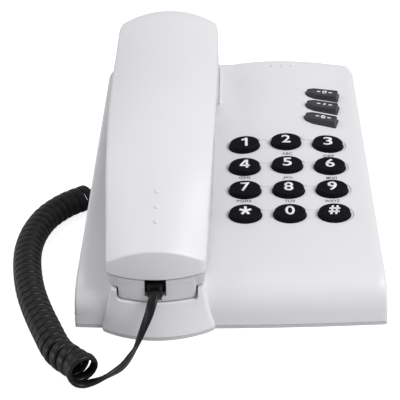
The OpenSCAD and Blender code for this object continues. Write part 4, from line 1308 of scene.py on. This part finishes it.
class PHONE_OT_number_keys(bpy.types.Operator):
    """Twelve number keys with their printed characters, and the letters on the deck"""

    bl_idname = "phone.number_keys"
    bl_label = "Number keys"

    def execute(self, context):
        sizes = context.scene.phone_keys
        rings = [oval(2 * STEM_R, 2 * STEM_R, z) for z in (STEM_FOOT, FLANGE_LOW)]
        rings += [oval(KEY_W + 2, KEY_L + 2, z) for z in (FLANGE_LOW, FLANGE_TOP)]
        rings += [oval(KEY_W - less, KEY_L - less, z) for less, z in KEY_PROFILE]
        rings += [oval((KEY_W - 2.4) * f, (KEY_L - 2.4) * f, KEY_H) for f in (0.7, 0.4, 0.1)]
        for name, char, col, row in KEYS:
            place = key_place(col, row)
            dress(skin(name + "_cap", rings, place), "key", name + "_body", [name], 40)
            # the prints stay upright on a turned key
            c, n = polar(1, math.radians(col * ROW_TURN[row]))
            spot = lambda p, q=place, c=c, n=n: q((
                p[0] * c - (p[1] + PRINT_UP) * n, p[0] * n + (p[1] + PRINT_UP) * c, p[2]))
            if char in DRAWN:
                mark = flat_mark(name + "_print", DRAWN[char], spot, KEY_H + INK_GAP)
            else:
                mark = glyph(name + "_print", char, DIGIT_W, sizes.digit_height / MM, spot,
                             DIGIT_BOLD, KEY_H + INK_GAP, INK)
            dress(mark, "print_white", name + "_body")
        for text, u, v in LETTERS:
            spot = lambda p, a=u, b=v: deck_place((a + p[0], b + p[1], p[2]))
            mark = glyph("letters_" + text, text, LETTER_W * len(text), sizes.letter_height / MM,
                         spot, LETTER_BOLD, LETTER_INK, LETTER_INK)
            dress(mark, "print_grey", "base")
        return {"FINISHED"}


def arc_band(r0, r1, a0, a1, steps=18):
    """Flat ring segment between two radii and angles in degrees."""
    turn = np.radians(np.linspace(a0, a1, steps))
    return [polar(r1, a) for a in turn] + [polar(r0, a) for a in turn[::-1]]


DASHES = [[(x, -0.4), (x + 2.0, -0.4), (x + 2.0, 0.4), (x, 0.4)] for x in (-4.5, 2.5)]
PICTOGRAMS = {
    "key_redial": [arc_band(0.7, 1.3, 60, 350), [(0.1, 0.3), (1.2, 1.6), (1.5, 0.1)]],
    "key_flash": [[(0.7, 1.5), (-1.1, -0.25), (-0.1, -0.25), (-0.7, -1.5), (1.1, 0.35),
                   (0.15, 0.35)]],
    "key_mute": [arc_band(0.85, 1.4, 50, 220), arc_band(0.85, 1.4, 230, 400),
                 [(-1.35, 0.95), (0.95, -1.35), (1.35, -0.95), (-0.95, 1.35)]],
}
# How much a function key grows at each height, from its flange to its top
FIN_PROFILE = ((1.0, FLANGE_LOW), (1.0, FLANGE_TOP), (0.0, FLANGE_TOP), (0.0, 0.5), (-0.12, 0.72),
               (-0.4, 0.85), (-0.5, 1.1), (-0.7, 2.9), (-0.85, 3.4), (-1.15, 3.7), (-1.5, FIN_H))


class PHONE_OT_function_keys(bpy.types.Operator):
    """Three function keys with pictograms"""

    bl_idname = "phone.function_keys"
    bl_label = "Function keys"

    def execute(self, context):
        outline = fin_outline()
        begin = math.atan2(outline[0][1], outline[0][0])
        stem = [polar(STEM_R, a) for a in turns(len(outline), begin)]
        rings = [ring_at(stem, z) for z in (STEM_FOOT, FLANGE_LOW)]
        rings += [ring_at(fin_outline(grow), z) for grow, z in FIN_PROFILE]
        rings.append([(x * 0.3, y * 0.3, FIN_H) for x, y in fin_outline(-1.5)])
        for name, *at in FINS:
            place = fin_place(*at)
            dress(skin(name + "_cap", rings, place), "fin", name + "_body", [name], 40)
            mark = flat_mark(name + "_print", DASHES + PICTOGRAMS[name],
                             lambda p, q=place: q((p[0] + 1.2, p[1] + PRINT_UP, p[2])),
                             FIN_H + INK_GAP)
            dress(mark, "print_white", name + "_body")
        return {"FINISHED"}


# ------------------------------------------------------------- carried parts

CARRIED = {
    "shell": ["hanger_tab"],
    # the bottom cover takes the shell colour darkened as painted shade
    "shell_low": ["bottom_cover"],
    "rubber": ["rubber_feet", "ear_gasket", "mic_boot"],
    "steel": ["base_screws", "board_screws", "hook_board_screws", "handset_screws", "hook_spring"],
    "iron": ["ballast_plate", "handset_weight"],
    "board": ["main_board", "hook_board"],
    "part": ["board_parts", "hook_switch", "ringer_switch", "hook_plunger", "earpiece_speaker",
             "ringer_knob"],
    "mat": ["keypad_mat"],
    "brass": ["buzzer"],
    "capsule": ["microphone"],
    "jack": ["line_jack", "base_cord_jack", "handset_jack"],
    "plug": ["handset_plug", "base_plug"],
}


class PHONE_OT_carried(bpy.types.Operator):
    """Finishes of the solids that keep their own shape"""

    bl_idname = "phone.carried"
    bl_label = "Carried parts"

    def execute(self, context):
        for finish, names in CARRIED.items():
            for name in names:
                paint(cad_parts[name], finish)
        return {"FINISHED"}


# --------------------------------------------------------------------- add-on


class PHONE_PT_panel(bpy.types.Panel):
    bl_label = "Corded telephone"
    bl_idname = "PHONE_PT_panel"
    bl_space_type = "VIEW_3D"
    bl_region_type = "UI"
    bl_category = "Telephone"

    def draw(self, context):
        for label in GROUPS:
            group = getattr(context.scene, label)
            for key in group.bl_rna.properties.keys():
                if key not in ("rna_type", "name"):
                    self.layout.prop(group, key)
        for op in OPERATORS:
            self.layout.operator(op.bl_idname)


GROUPS = {"phone_finish": PhoneFinish, "phone_cord": PhoneCord, "phone_keys": PhoneKeys}
OPERATORS = (PHONE_OT_stage, PHONE_OT_cord, PHONE_OT_top_cover, PHONE_OT_handset,
             PHONE_OT_number_keys, PHONE_OT_function_keys, PHONE_OT_carried)
CLASSES = (*GROUPS.values(), *OPERATORS, PHONE_PT_panel)


def register():
    for cls in CLASSES:
        bpy.utils.register_class(cls)
    for label, group in GROUPS.items():
        setattr(bpy.types.Scene, label, bpy.props.PointerProperty(type=group))


def unregister():
    for label in GROUPS:
        delattr(bpy.types.Scene, label)
    for cls in reversed(CLASSES):
        bpy.utils.unregister_class(cls)


def main():
    register()
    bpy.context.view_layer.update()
    for op in OPERATORS:
        group, name = op.bl_idname.split(".")
        getattr(getattr(bpy.ops, group), name)()


if __name__ == "__main__":
    main()
